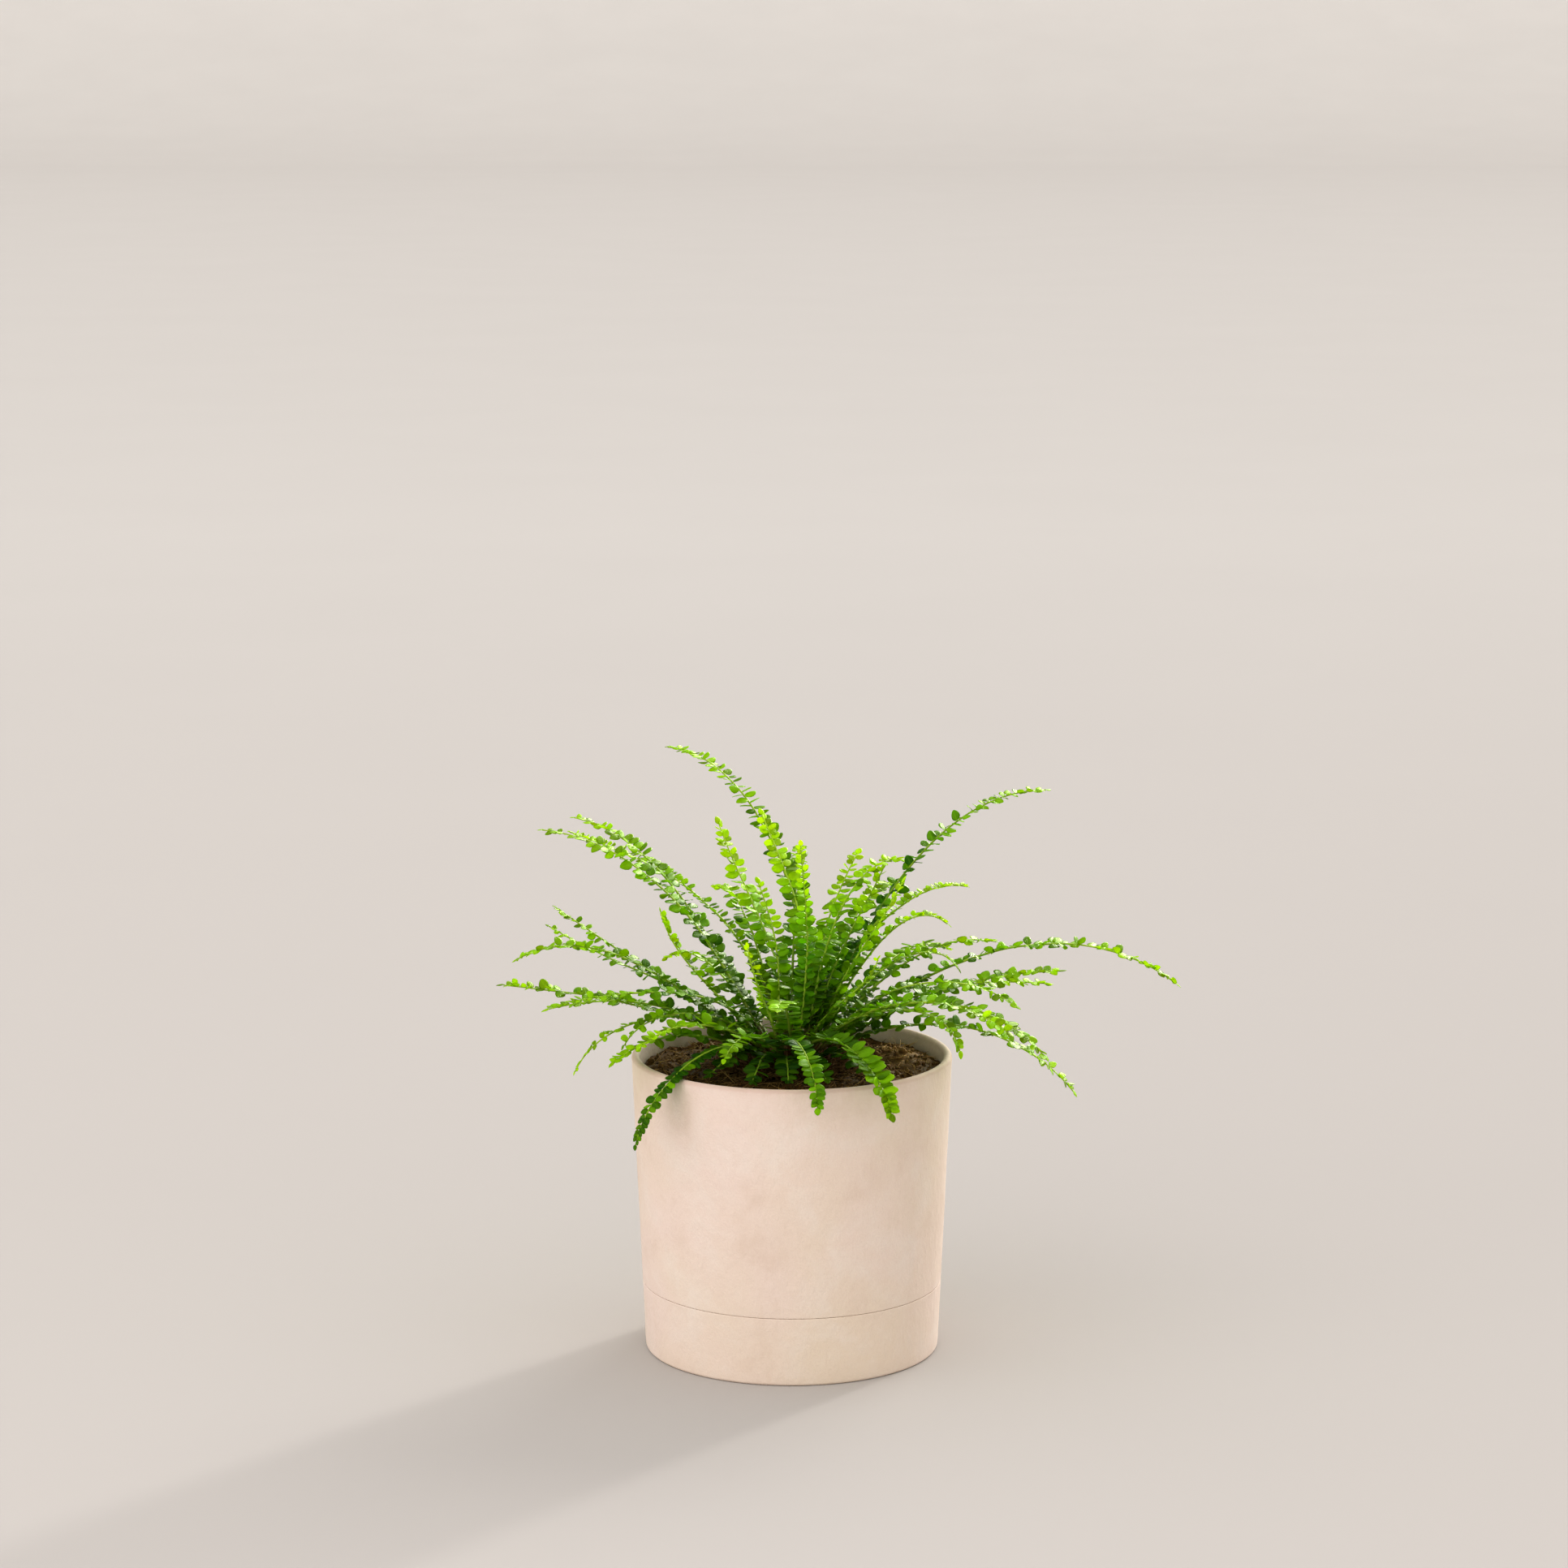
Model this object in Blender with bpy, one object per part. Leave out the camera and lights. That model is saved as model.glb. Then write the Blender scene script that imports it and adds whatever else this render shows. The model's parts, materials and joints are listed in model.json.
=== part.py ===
"""Potted button fern: a straight-sided pot that stands in a flush saucer, its potting soil, the fern's crown
and one named frond after another.

Units are metres and +Z is up. The origin is the centre of the saucer's flat underside, and -Y is the front.
"""

import math

import bmesh
import bpy
from mathutils import Matrix, Vector

MM = 0.001

# Pot and saucer: one straight outer taper runs over both, broken only by the seam between them.
POT_HEIGHT = 145.3 * MM
RIM_RADIUS = 77.5 * MM
FOOT_RADIUS = 71.2 * MM
WALL = 4.2 * MM
TURNED_SIDES = 72
GAP = 0.4 * MM

# Saucer.
SEAM_HEIGHT = 33.3 * MM
SAUCER_WALL = 3.0 * MM
SAUCER_FLOOR = 4.0 * MM
FOOT_BEVEL = 1.4 * MM
LIP_BEVEL = 0.5 * MM

# The pot's narrow lower part, which nests in the saucer and stands on a notched foot ring.
NEST_WALL = 3.0 * MM
FLOOR_UNDERSIDE = 10.0 * MM
FLOOR_TOP = 14.0 * MM
FOOT_RING = (58.5 * MM, 64.0 * MM)
NOTCH_WIDTH = 12.0 * MM
NOTCH_TOP = 9.0 * MM
NOTCH_COUNT = 3
DRAIN_RADIUS = 8.0 * MM

# Soil and crown.
SOIL_GAP = 0.3 * MM
SOIL_EDGE = POT_HEIGHT - 8.0 * MM
SOIL_MIDDLE = POT_HEIGHT - 5.5 * MM
SOIL_LUMPS = 0.9 * MM
CROWN_RADIUS = 30.0 * MM
CROWN_HEIGHT = 8.0 * MM
CROWN_SIDES = 28
CROWN_RINGS = 6

# Fronds. Each is a narrow blade on a rachis that leaves the crown and bends to its tip.
RACHIS_HALF = 1.0 * MM
RIDGE_ABOVE = 0.45 * MM
RIDGE_BELOW = 1.1 * MM
TIP_HALF = 1.2 * MM
STATION_STEP = 11.0 * MM
BASE_SPREAD = (5.0 * MM, 21.0 * MM)

# Colours: the matte pot, the wet soil, the crown's brown scales and the green of old and of young fronds.
CLAY = (0.78, 0.60, 0.47)
SOIL_BROWN = (0.07, 0.04, 0.022)
CROWN_BROWN = (0.13, 0.09, 0.03)
OLD_GREEN = (0.045, 0.19, 0.008)
YOUNG_GREEN = (0.22, 0.52, 0.02)

# One row for each frond, in degrees and millimetres:
# name, place round the crown that it springs from, heading (0 = right, 90 = back, -90 = front), launch angle
# above the horizon, reach of the tip from the pot's axis, rise of the tip above the rim, angle at the tip,
# sideways bow of the middle, half width of the blade.
FRONDS = (
    # Upright fronds in the middle.
    ("tall_left", 25, 118, 68, 133, 130, -5, -10, 6.5),
    ("tall_bright", 10, 118, 86, 31, 112, 64, -7, 7.0),
    ("upright_left", 80, 128, 76, 58, 104, 62, -1, 7.0),
    ("upright_mid_left", 190, 127, 84, 27, 79, 66, -4, 6.5),
    ("upright_middle", -60, 65, 88, 10, 100, 80, -5, 6.5),
    ("upright_right", -5, 62, 78, 69, 86, 40, 2, 6.5),
    ("arching_right", -30, 38, 82, 70, 86, -16, 0, 6.5),
    ("upright_far_right", -16, 36, 76, 55, 84, 60, 1, 6.5),
    ("upright_near_right", 0, 14, 72, 55, 81, 62, 0, 7.0),
    ("short_front_left", -135, -135, 78, 30, 56, 78, 0, 5.5),
    ("short_front_right", -40, -35, 74, 50, 52, 70, 0, 5.0),
    # Right side.
    ("tall_right", 40, 28, 64, 142, 117, -5, 0, 6.5),
    ("right_arch", 70, 40, 64, 114, 67, -16, -4, 6.0),
    ("right_curl", 12, 12, 66, 77, 60, -42, 0, 6.5),
    ("right_white", -10, -10, 68, 81, 44, -60, 0, 5.0),
    ("right_long", 3, 3, 43, 186, 32, -38, 4, 6.5),
    ("right_level", -8, -8, 36, 129, 44, 3, 0, 6.5),
    ("right_low_back", 30, 16, 32, 130, 26, -8, 0, 6.5),
    ("right_droop", -16, -16, 32, 139, -10, -50, 0, 6.0),
    ("right_front_droop", -30, -28, 50, 134, 13, -45, 0, 6.5),
    ("right_front", -68, -41, 44, 132, 30, -25, 0, 6.5),
    ("right_middle_front", -22, -20, 56, 112, 32, -32, 0, 6.5),
    ("right_middle_back", 20, 22, 50, 108, 46, -14, 0, 6.5),
    ("right_short_droop", -42, -38, 52, 100, 15, -75, 0, 6.0),
    # Left side.
    ("left_high", 170, 160, 64, 130, 101, 2, 0, 6.5),
    ("left_high_back", 146, 146, 56, 130, 102, 5, 0, 6.5),
    ("left_back_long", 110, 131, 68, 172, 84, 5, 0, 5.5),
    ("left_upright", 180, 172, 54, 64, 67, 74, 0, 6.5),
    ("left_rising", 158, 170, 37, 116, 67, 34, 0, 6.5),
    ("left_level", 172, 184, 40, 132, 48, -28, 0, 6.5),
    ("left_edge", 148, 156, 34, 131, 51, 26, 0, 5.5),
    ("left_long", 165, 176, 24, 140, 31, 5, 0, 6.0),
    ("left_low", 182, 190, 34, 118, 26, -12, 0, 6.5),
    ("left_low_front", 212, 203, 62, 114, 35, -4, 0, 6.5),
    ("left_droop", 212, 197, 50, 108, -2, -66, 0, 5.5),
    ("left_short_droop", 232, 205, 52, 88, 12, -60, 0, 5.5),
    ("left_front_low", 205, 209, 28, 96, 6, -34, 0, 6.5),
    ("left_front_bright", 228, 219, 42, 92, 16, -30, 0, 7.0),
    # Front.
    ("front_left_hanging", -128, -136, 35, 102, -28, -74, 0, 6.5),
    ("front_hanging", -112, -83, 44, 96, -4, -72, 0, 6.5),
    ("front_right_hanging", -75, -62, 46, 98, -9, -70, -2, 8.0),
    ("front_towards", -90, -95, 58, 76, 38, -12, 0, 7.0),
    ("front_low_left", -104, -112, 34, 84, 15, -35, 0, 6.0),
    ("front_tuft_far_left", -142, -130, 26, 62, 0, -18, 0, 6.0),
    ("front_tuft_left", -121, -109, 24, 58, -1, -16, 0, 6.0),
    ("front_tuft_middle", -97, -92, 22, 54, -1, -14, 0, 6.0),
    ("front_tuft_right", -83, -74, 25, 58, 0, -16, 0, 6.0),
    ("front_tuft_far_right", -53, -50, 25, 60, 0, -16, 0, 6.0),
    # Back.
    ("back_low_right", 44, 52, 30, 128, 30, -25, 0, 6.5),
    ("back_right", 62, 66, 46, 132, 58, -20, 0, 6.5),
    ("back_low", 84, 82, 32, 134, 24, -30, 0, 6.5),
    ("back_high", 92, 88, 58, 122, 78, -10, 0, 6.5),
    ("back_left", 108, 106, 44, 138, 54, -20, 0, 6.5),
    ("back_low_left", 122, 120, 28, 128, 22, -30, 0, 6.5),
    ("back_droop_right", 70, 70, 20, 106, -4, -60, 0, 6.0),
    ("back_droop_left", 98, 98, 20, 106, -6, -62, 0, 6.0),
)


def clear_scene():
    for obj in list(bpy.data.objects):
        bpy.data.objects.remove(obj)


def material(name, colour, roughness):
    made = bpy.data.materials.new(name)
    made.use_nodes = True
    shader = made.node_tree.nodes["Principled BSDF"]
    shader.inputs["Base Color"].default_value = (*colour, 1.0)
    shader.inputs["Roughness"].default_value = roughness
    shader.inputs["Metallic"].default_value = 0.0
    return made


def add_object(name, shape, finish):
    """Puts a finished bmesh into the scene as one named object."""
    mesh = bpy.data.meshes.new(name)
    shape.to_mesh(mesh)
    shape.free()
    obj = bpy.data.objects.new(name, mesh)
    bpy.context.scene.collection.objects.link(obj)
    if finish:
        mesh.materials.append(finish)
        mesh.shade_smooth()
        mesh.set_sharp_from_angle(angle=math.radians(35))
    return obj


def outer_radius(height):
    """The straight taper that pot and saucer share."""
    return FOOT_RADIUS + (RIM_RADIUS - FOOT_RADIUS) * height / POT_HEIGHT


def arc(centre_r, centre_z, radius, start, end, steps):
    """Points of a round stretch of a profile, in degrees from +R towards +Z."""
    turns = [math.radians(start + (end - start) * i / steps) for i in range(steps + 1)]
    return [(centre_r + radius * math.cos(a), centre_z + radius * math.sin(a)) for a in turns]


def turned(profile, sides):
    """A closed solid of revolution from a profile that starts and ends on the axis."""
    shape = bmesh.new()
    corners = [shape.verts.new((r, 0, z)) for r, z in profile]
    edges = [shape.edges.new(pair) for pair in zip(corners, corners[1:])]
    bmesh.ops.spin(
        shape,
        geom=corners + edges,
        cent=(0, 0, 0),
        axis=(0, 0, 1),
        angle=math.tau,
        steps=sides,
        use_merge=True,
    )
    bmesh.ops.remove_doubles(shape, verts=shape.verts, dist=1e-5)
    bmesh.ops.recalc_face_normals(shape, faces=shape.faces)
    return shape


def flatten_discs(shape):
    """Joins the flat fans round the axis into single faces."""
    bmesh.ops.dissolve_limit(shape, angle_limit=1e-3, verts=shape.verts, edges=shape.edges)


def make_saucer(finish):
    inner = outer_radius(SEAM_HEIGHT) - SAUCER_WALL
    inner_foot = outer_radius(SAUCER_FLOOR) - SAUCER_WALL
    corner = 4 * MM
    profile = [(0, SAUCER_FLOOR)]
    profile += arc(inner_foot - corner, SAUCER_FLOOR + corner, corner, -90, 0, 4)
    profile += [(inner, SEAM_HEIGHT - LIP_BEVEL), (inner + LIP_BEVEL, SEAM_HEIGHT)]
    profile += [(outer_radius(SEAM_HEIGHT) - LIP_BEVEL, SEAM_HEIGHT)]
    profile += [(outer_radius(SEAM_HEIGHT), SEAM_HEIGHT - LIP_BEVEL)]
    profile += arc(FOOT_RADIUS - FOOT_BEVEL, FOOT_BEVEL, FOOT_BEVEL, 0, -90, 4)
    profile += [(0, 0)]
    shape = turned(profile, TURNED_SIDES)
    flatten_discs(shape)
    return add_object("saucer", shape, finish)


def pot_inner_radius(height):
    """The inside of the pot's wall: a slanting ledge leads down into the narrow part in the saucer."""
    nest = outer_radius(SEAM_HEIGHT) - SAUCER_WALL - GAP - NEST_WALL
    ledge_low, ledge_high = SEAM_HEIGHT, SEAM_HEIGHT + 6 * MM
    wide = outer_radius(height) - WALL
    if height >= ledge_high:
        return wide
    if height <= ledge_low:
        return nest - (ledge_low - height) * 0.05
    share = (height - ledge_low) / (ledge_high - ledge_low)
    return nest + (outer_radius(ledge_high) - WALL - nest) * share


def pot_profile():
    lip = WALL / 2
    corner = 5 * MM
    inner_corner = pot_inner_radius(FLOOR_TOP + corner)
    shoulder = SEAM_HEIGHT + SOIL_GAP
    nest_top = outer_radius(SEAM_HEIGHT) - SAUCER_WALL - GAP
    nest_foot = nest_top - (SEAM_HEIGHT - FLOOR_UNDERSIDE) * 0.05
    profile = [(0, FLOOR_TOP)]
    profile += arc(inner_corner - corner, FLOOR_TOP + corner, corner, -90, 0, 4)
    profile += [(pot_inner_radius(z), z) for z in (SEAM_HEIGHT, SEAM_HEIGHT + 6 * MM)]
    profile += arc(RIM_RADIUS - lip, POT_HEIGHT - lip, lip, 180, 0, 8)
    profile += [(outer_radius(shoulder + LIP_BEVEL), shoulder + LIP_BEVEL)]
    profile += [(outer_radius(shoulder) - LIP_BEVEL, shoulder), (nest_top, shoulder)]
    profile += [(nest_foot, FLOOR_UNDERSIDE + 2 * MM), (nest_foot - 2 * MM, FLOOR_UNDERSIDE)]
    foot = SAUCER_FLOOR + SOIL_GAP
    profile += [(FOOT_RING[1] + 0.5 * MM, FLOOR_UNDERSIDE), (FOOT_RING[1], foot)]
    profile += [(FOOT_RING[0], foot), (FOOT_RING[0] - 0.5 * MM, FLOOR_UNDERSIDE)]
    profile += [(0, FLOOR_UNDERSIDE)]
    return profile


def make_pot_cutters():
    """The notches that let water under the foot ring, and the drain hole in the floor."""
    shape = bmesh.new()
    low = SAUCER_FLOOR - 1 * MM
    for i in range(NOTCH_COUNT):
        size = Matrix.Diagonal((2.2 * FOOT_RING[1], NOTCH_WIDTH, NOTCH_TOP - low, 1))
        place = Matrix.Translation((0, 0, (NOTCH_TOP + low) / 2))
        turn = Matrix.Rotation(math.pi * i / NOTCH_COUNT, 4, "Z")
        bmesh.ops.create_cube(shape, size=1.0, matrix=turn @ place @ size)
    notches = add_object("notch_cutter", shape, None)
    shape = bmesh.new()
    bmesh.ops.create_cone(
        shape,
        cap_ends=True,
        segments=32,
        radius1=DRAIN_RADIUS,
        radius2=DRAIN_RADIUS,
        depth=3 * (FLOOR_TOP - FLOOR_UNDERSIDE),
        matrix=Matrix.Translation((0, 0, (FLOOR_TOP + FLOOR_UNDERSIDE) / 2)),
    )
    drain = add_object("drain_cutter", shape, None)
    for cutter in (notches, drain):
        cutter.hide_render = True
        cutter.display_type = "WIRE"
    return notches, drain


def make_pot(finish):
    shape = turned(pot_profile(), TURNED_SIDES)
    flatten_discs(shape)
    pot = add_object("pot", shape, finish)
    for cutter in make_pot_cutters():
        cut = pot.modifiers.new(cutter.name, "BOOLEAN")
        cut.object = cutter
        cut.operation = "DIFFERENCE"
        cut.solver = "EXACT"
    return pot


def soil_height(x, y):
    """The soil's top: a low dome, pressed level under the crown and lumpy round it."""
    out = math.hypot(x, y) / (RIM_RADIUS - WALL)
    dome = SOIL_EDGE + (SOIL_MIDDLE - SOIL_EDGE) * (1 - out * out)
    lumps = math.sin(x * 130 + 1.3) * math.sin(y * 150 + 0.4) + 0.6 * math.sin(x * 260 - y * 210)
    share = min(1.0, max(0.0, (out * (RIM_RADIUS - WALL) - CROWN_RADIUS) / (12 * MM)))
    return dome * share + SOIL_MIDDLE * (1 - share) + SOIL_LUMPS * lumps * share


def make_soil(finish):
    low = FLOOR_TOP + SOIL_GAP
    corner = 5 * MM
    edge = outer_radius(SOIL_EDGE) - WALL - SOIL_GAP
    rings = [CROWN_RADIUS * 0.9, CROWN_RADIUS * 1.25, edge * 0.65, edge * 0.8, edge * 0.92]
    profile = [(0, SOIL_MIDDLE)] + [(r, SOIL_MIDDLE) for r in rings]
    profile += [(edge, SOIL_EDGE)]
    for z in (SEAM_HEIGHT + 6 * MM, SEAM_HEIGHT, low + corner):
        profile += [(pot_inner_radius(z) - SOIL_GAP, z)]
    profile += [(pot_inner_radius(low + corner) - SOIL_GAP - 4.5 * MM, low), (0, low)]
    shape = turned(profile, TURNED_SIDES // 2)
    for vert in shape.verts:
        if vert.co.z > SOIL_EDGE - 1 * MM:
            vert.co.z = soil_height(vert.co.x, vert.co.y)
    return add_object("soil", shape, finish)


def crown_height(radius):
    """Height of the crown's rounded top at a distance from the axis."""
    share = min(1.0, radius / CROWN_RADIUS)
    return SOIL_MIDDLE + SOIL_GAP + CROWN_HEIGHT * math.sqrt(1 - share * share)


def make_crown(finish):
    profile = []
    for i in range(CROWN_RINGS + 1):
        radius = CROWN_RADIUS * math.sin(math.pi / 2 * i / CROWN_RINGS)
        profile.append((radius, crown_height(radius)))
    profile[-1] = (CROWN_RADIUS, SOIL_MIDDLE + SOIL_GAP + 1.2 * MM)
    profile += [(CROWN_RADIUS - 1.5 * MM, SOIL_MIDDLE + SOIL_GAP), (0, SOIL_MIDDLE + SOIL_GAP)]
    shape = turned(profile, CROWN_SIDES)
    return add_object("crown", shape, finish)


def frond_curve(spring, heading, launch, reach, rise, tip_angle, bow):
    """A cubic curve from the crown to the tip, bowed sideways: returns place(share) -> Vector."""
    out = Vector((math.cos(math.radians(heading)), math.sin(math.radians(heading)), 0))
    side = Vector((-out.y, out.x, 0))
    up = Vector((0, 0, 1))
    near, far = BASE_SPREAD
    start_r = near + (far - near) * math.cos(math.radians(launch)) ** 0.8
    leave = out * math.cos(math.radians(launch)) + up * math.sin(math.radians(launch))
    arrive = out * math.cos(math.radians(tip_angle)) + up * math.sin(math.radians(tip_angle))
    from_axis = Vector((math.cos(math.radians(spring)), math.sin(math.radians(spring)), 0))
    start = from_axis * start_r + up * (crown_height(start_r) + 1.2 * MM)
    end = out * reach * MM + up * (POT_HEIGHT + rise * MM)
    chord = (end - start).length
    pull_out, pull_in = start + leave * chord * 0.42, end - arrive * chord * 0.34

    def place(share):
        rest = 1 - share
        point = start * rest**3 + pull_out * 3 * rest**2 * share
        point += pull_in * 3 * rest * share**2 + end * share**3
        return point + side * bow * MM * math.sin(math.pi * share)

    return place


def blade_half_width(share, widest):
    """Narrow stalk at the crown, full width along the middle, tapering to the tip."""
    opening = min(1.0, max(0.0, (share - 0.12) / 0.33))
    closing = min(1.0, max(0.0, (1 - share) / 0.5))
    full = RACHIS_HALF + (widest * MM - RACHIS_HALF) * opening * opening * (3 - 2 * opening)
    return TIP_HALF + (full - TIP_HALF) * math.sin(math.pi / 2 * closing) ** 0.9


def make_frond(name, spring, heading, launch, reach, rise, tip_angle, bow, widest, finish):
    place = frond_curve(spring, heading, launch, reach, rise, tip_angle, bow)
    across = Vector((-math.sin(math.radians(heading)), math.cos(math.radians(heading)), 0))
    rough_length = sum((place((i + 1) / 20) - place(i / 20)).length for i in range(20))
    stations = max(6, round(rough_length / STATION_STEP))
    shape = bmesh.new()
    rings = []
    for i in range(stations + 1):
        share = i / stations
        centre = place(share)
        along = (place(min(1, share + 0.01)) - place(max(0, share - 0.01))).normalized()
        level = (across - along * across.dot(along)).normalized()
        above = along.cross(level)
        half = blade_half_width(share, widest) if i else RACHIS_HALF
        corners = (level * half, above * RIDGE_ABOVE, level * -half, above * -RIDGE_BELOW)
        rings.append([shape.verts.new(centre + c) for c in corners])
    for lower, upper in zip(rings, rings[1:]):
        for k in range(4):
            shape.faces.new((lower[k], lower[k - 1], upper[k - 1], upper[k]))
    shape.faces.new(rings[0])
    shape.faces.new(reversed(rings[-1]))
    bmesh.ops.recalc_face_normals(shape, faces=shape.faces)
    bmesh.ops.triangulate(shape, faces=shape.faces)
    return add_object(f"frond_{name}", shape, finish)


def main():
    clear_scene()
    clay = material("matte_clay", CLAY, 0.85)
    make_saucer(clay)
    make_pot(clay)
    make_soil(material("potting_soil", SOIL_BROWN, 0.95))
    make_crown(material("crown_scales", CROWN_BROWN, 0.9))
    old = material("old_frond", OLD_GREEN, 0.45)
    young = material("young_frond", YOUNG_GREEN, 0.45)
    for row in FRONDS:
        launch = row[3]
        make_frond(*row, young if launch > 70 else old)


main()
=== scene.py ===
"""Looks of the potted button fern: leaflets on every frond, a mottled clay pot in its saucer, fibrous soil.

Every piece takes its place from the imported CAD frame: a frond's leaflets follow its CAD blade, and the pot,
saucer and soil are turned between the radii and heights of their own CAD nodes. Metres, +Z up, front at -Y.
"""

import json
import math

import bpy
import numpy as np
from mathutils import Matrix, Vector


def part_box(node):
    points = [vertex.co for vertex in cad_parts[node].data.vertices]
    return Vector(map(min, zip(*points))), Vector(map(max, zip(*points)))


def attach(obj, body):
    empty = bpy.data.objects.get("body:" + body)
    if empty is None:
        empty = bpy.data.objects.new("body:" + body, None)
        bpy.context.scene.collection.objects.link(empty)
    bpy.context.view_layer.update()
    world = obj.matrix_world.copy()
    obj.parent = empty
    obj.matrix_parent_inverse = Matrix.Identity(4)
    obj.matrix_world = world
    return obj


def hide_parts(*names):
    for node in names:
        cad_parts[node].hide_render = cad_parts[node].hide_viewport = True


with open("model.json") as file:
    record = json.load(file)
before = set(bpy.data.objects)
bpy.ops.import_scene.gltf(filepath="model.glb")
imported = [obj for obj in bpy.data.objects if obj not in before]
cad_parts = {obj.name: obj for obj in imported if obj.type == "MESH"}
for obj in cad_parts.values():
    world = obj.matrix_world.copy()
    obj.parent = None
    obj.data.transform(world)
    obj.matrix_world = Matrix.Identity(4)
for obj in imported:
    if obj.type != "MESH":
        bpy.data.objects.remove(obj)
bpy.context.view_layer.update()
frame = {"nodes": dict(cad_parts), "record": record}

MM = 0.001
UP = np.array([0.0, 0.0, 1.0])

# The camera: a long lens a little above the plant, looking slightly down.
CAMERA_PLACE = (-0.0038, -2.052, 0.6347)
CAMERA_TILT = 9.891
LENS = 100.0
SENSOR = 36.0

# Leaflets: rings along one and points round each, half its thickness, the share of the frond that is bare
# stalk, lengths and half widths as shares of the blade's half width, the share of light that comes
# through, and the turn of the side veins' wave over a leaflet's length, in radians.
LEAF_RINGS = np.array([0.06, 0.24, 0.48, 0.74, 0.93])
LEAF_AROUND = 8
LEAF_HALF_THICK = 0.11 * MM
BARE_STALK = 0.06
LEAF_REACH = 0.91
END_LEAF_REACH, END_LEAF_HALF = 0.85, 0.38
LEAF_CLEAR = 0.64
VEIN_WAVES = 52.0

# The stalk of a frond: points round it, distance between its rings, and how far it wanders.
STALK_AROUND = 8
STALK_STEP = 3.5 * MM
STALK_WANDER = 0.35 * MM

# Fronds that hold their leaflets in a way of their own.
YOUNG = {"age": 0.6, "tip_age": 0.45, "pitch": 3.1 * MM, "plump": 0.9, "lift": 24, "loose": 17, "shelve": 40}
FULL = {"age": 0.30, "tip_age": 0.5, "pitch": 3.4 * MM, "plump": 1.08, "end": 0.66, "taper": 0.70}
# DARK: the front tufts, whose deep keeps painted shade on all their leaflets.
DARK = {"age": 0.0, "tip_age": 0.10, "pitch": 3.2 * MM, "plump": 1.10, "end": 0.6, "taper": 0.7, "deep": 0.9}
BLUNT = {"pitch": 3.0 * MM, "end": 0.62, "taper": 0.74, "loose": 8.0, "fallen": 0.0}
HABITS = {
    "tall_bright": {"age": 0.45, "pitch": 3.8 * MM},
    "upright_middle": {**YOUNG, "age": 0.15, "tip_age": 0.85, "loose": 22.0, "plump": 0.85},
    "upright_right": {"age": 0.35},
    "right_curl": YOUNG,
    "right_arch": {**YOUNG, "end": 0.5},
    "left_upright": YOUNG,
    "left_back_long": {**YOUNG, "age": 0.5},
    "left_front_bright": {"age": 0.6, "pitch": 3.3 * MM},
    "tall_right": {"age": 0.0, "tip_age": 0.7},
    "front_hanging": {**BLUNT, "age": 0.05, "tip_age": 0.15, "plump": 0.95, "lift": 18},
    "front_right_hanging": {**BLUNT, "age": 0.30, "tip_age": 0.3, "plump": 1.05, "lift": 26},
    "front_left_hanging": {**BLUNT, "end": 0.5, "age": 0.0, "tip_age": 0.2, "plump": 0.9},
    "front_towards": {**BLUNT, "age": 0.25},
}
for side, ends, habit in (
    ("right_", "level low_back long droop front front_droop short_droop middle_front middle_back", FULL),
    ("left_", "level low long front_low", FULL),
    ("front_tuft_", "far_left left middle right far_right", DARK),
):
    HABITS.update({side + end: habit for end in ends.split()})

# Seeds of the random draws. Frond number n takes FROND_SEED + n.
SOIL_SEED, CROWN_SEED, POT_SEED, FROND_SEED = 11, 23, 31, 100

# The pot and the saucer: points round each, depth of the waves from hand finishing, radius of small edges.
TURNED_SIDES = 216
HAND_WAVE = 0.10 * MM
BEAD = 0.3 * MM

# The sweep of paper: front and back edges, half width, height and radius of its bend, in metres.
SWEEP_FRONT, SWEEP_BACK, SWEEP_HALF, SWEEP_TALL, SWEEP_BEND = -10.0, 26.0, 20.0, 14.0, 8.0

# Suns: heading from +X towards +Y, height above the floor and width of the disc, in degrees.
LOW_SUN = {"heading": 51, "height": 17, "width": 5, "colour": (1.0, 0.98, 0.95)}
WINDOW = {"heading": 58, "height": 38, "width": 26, "colour": (1.0, 0.99, 0.97)}
GLEAM = {"heading": 70, "height": 26, "width": 20, "colour": (1.0, 1.0, 0.80)}
AIR_COLOUR, AIR_STRENGTH = (0.95, 0.93, 0.91, 1), 0.76
FILM_EXPOSURE, FILM_GAMMA = 0.61, 0.82

# Colours, as linear light.
PAPER_NEAR = (0.515, 0.488, 0.469)
PAPER_MIDDLE = (0.575, 0.551, 0.530)
PAPER_FAR = (0.775, 0.746, 0.716)
PAPER_SHADE = (0.480, 0.456, 0.439)
CLAY_SAND = (0.760, 0.650, 0.535)
CLAY_PINK = (0.785, 0.660, 0.592)
CLAY_PALE = (0.810, 0.745, 0.685)
CLAY_DEEP = (0.655, 0.515, 0.415)
# The darker pink that is painted along the top of the pot's lip as shade.
CLAY_LIP_SHADE = (0.496, 0.333, 0.278)
CLAY_STAIN = (0.300, 0.200, 0.130)
SOIL_DARK = (0.012, 0.006, 0.002)
SOIL_BROWN = (0.105, 0.050, 0.013)
SOIL_GINGER = (0.300, 0.150, 0.035)
SOIL_STRAW = (0.480, 0.310, 0.110)
CROWN_DARK = (0.050, 0.024, 0.007)
CROWN_CHESTNUT = (0.160, 0.072, 0.018)
CROWN_TAN = (0.330, 0.200, 0.080)
OLD_LEAF = (0.026, 0.145, 0.0003)
OLD_TIP = (0.570, 0.950, 0.002)
YOUNG_LEAF = (0.120, 0.420, 0.0005)
YOUNG_TIP = (0.700, 1.000, 0.003)
LEAF_LIGHT = (0.500, 0.860, 0.004)
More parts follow.
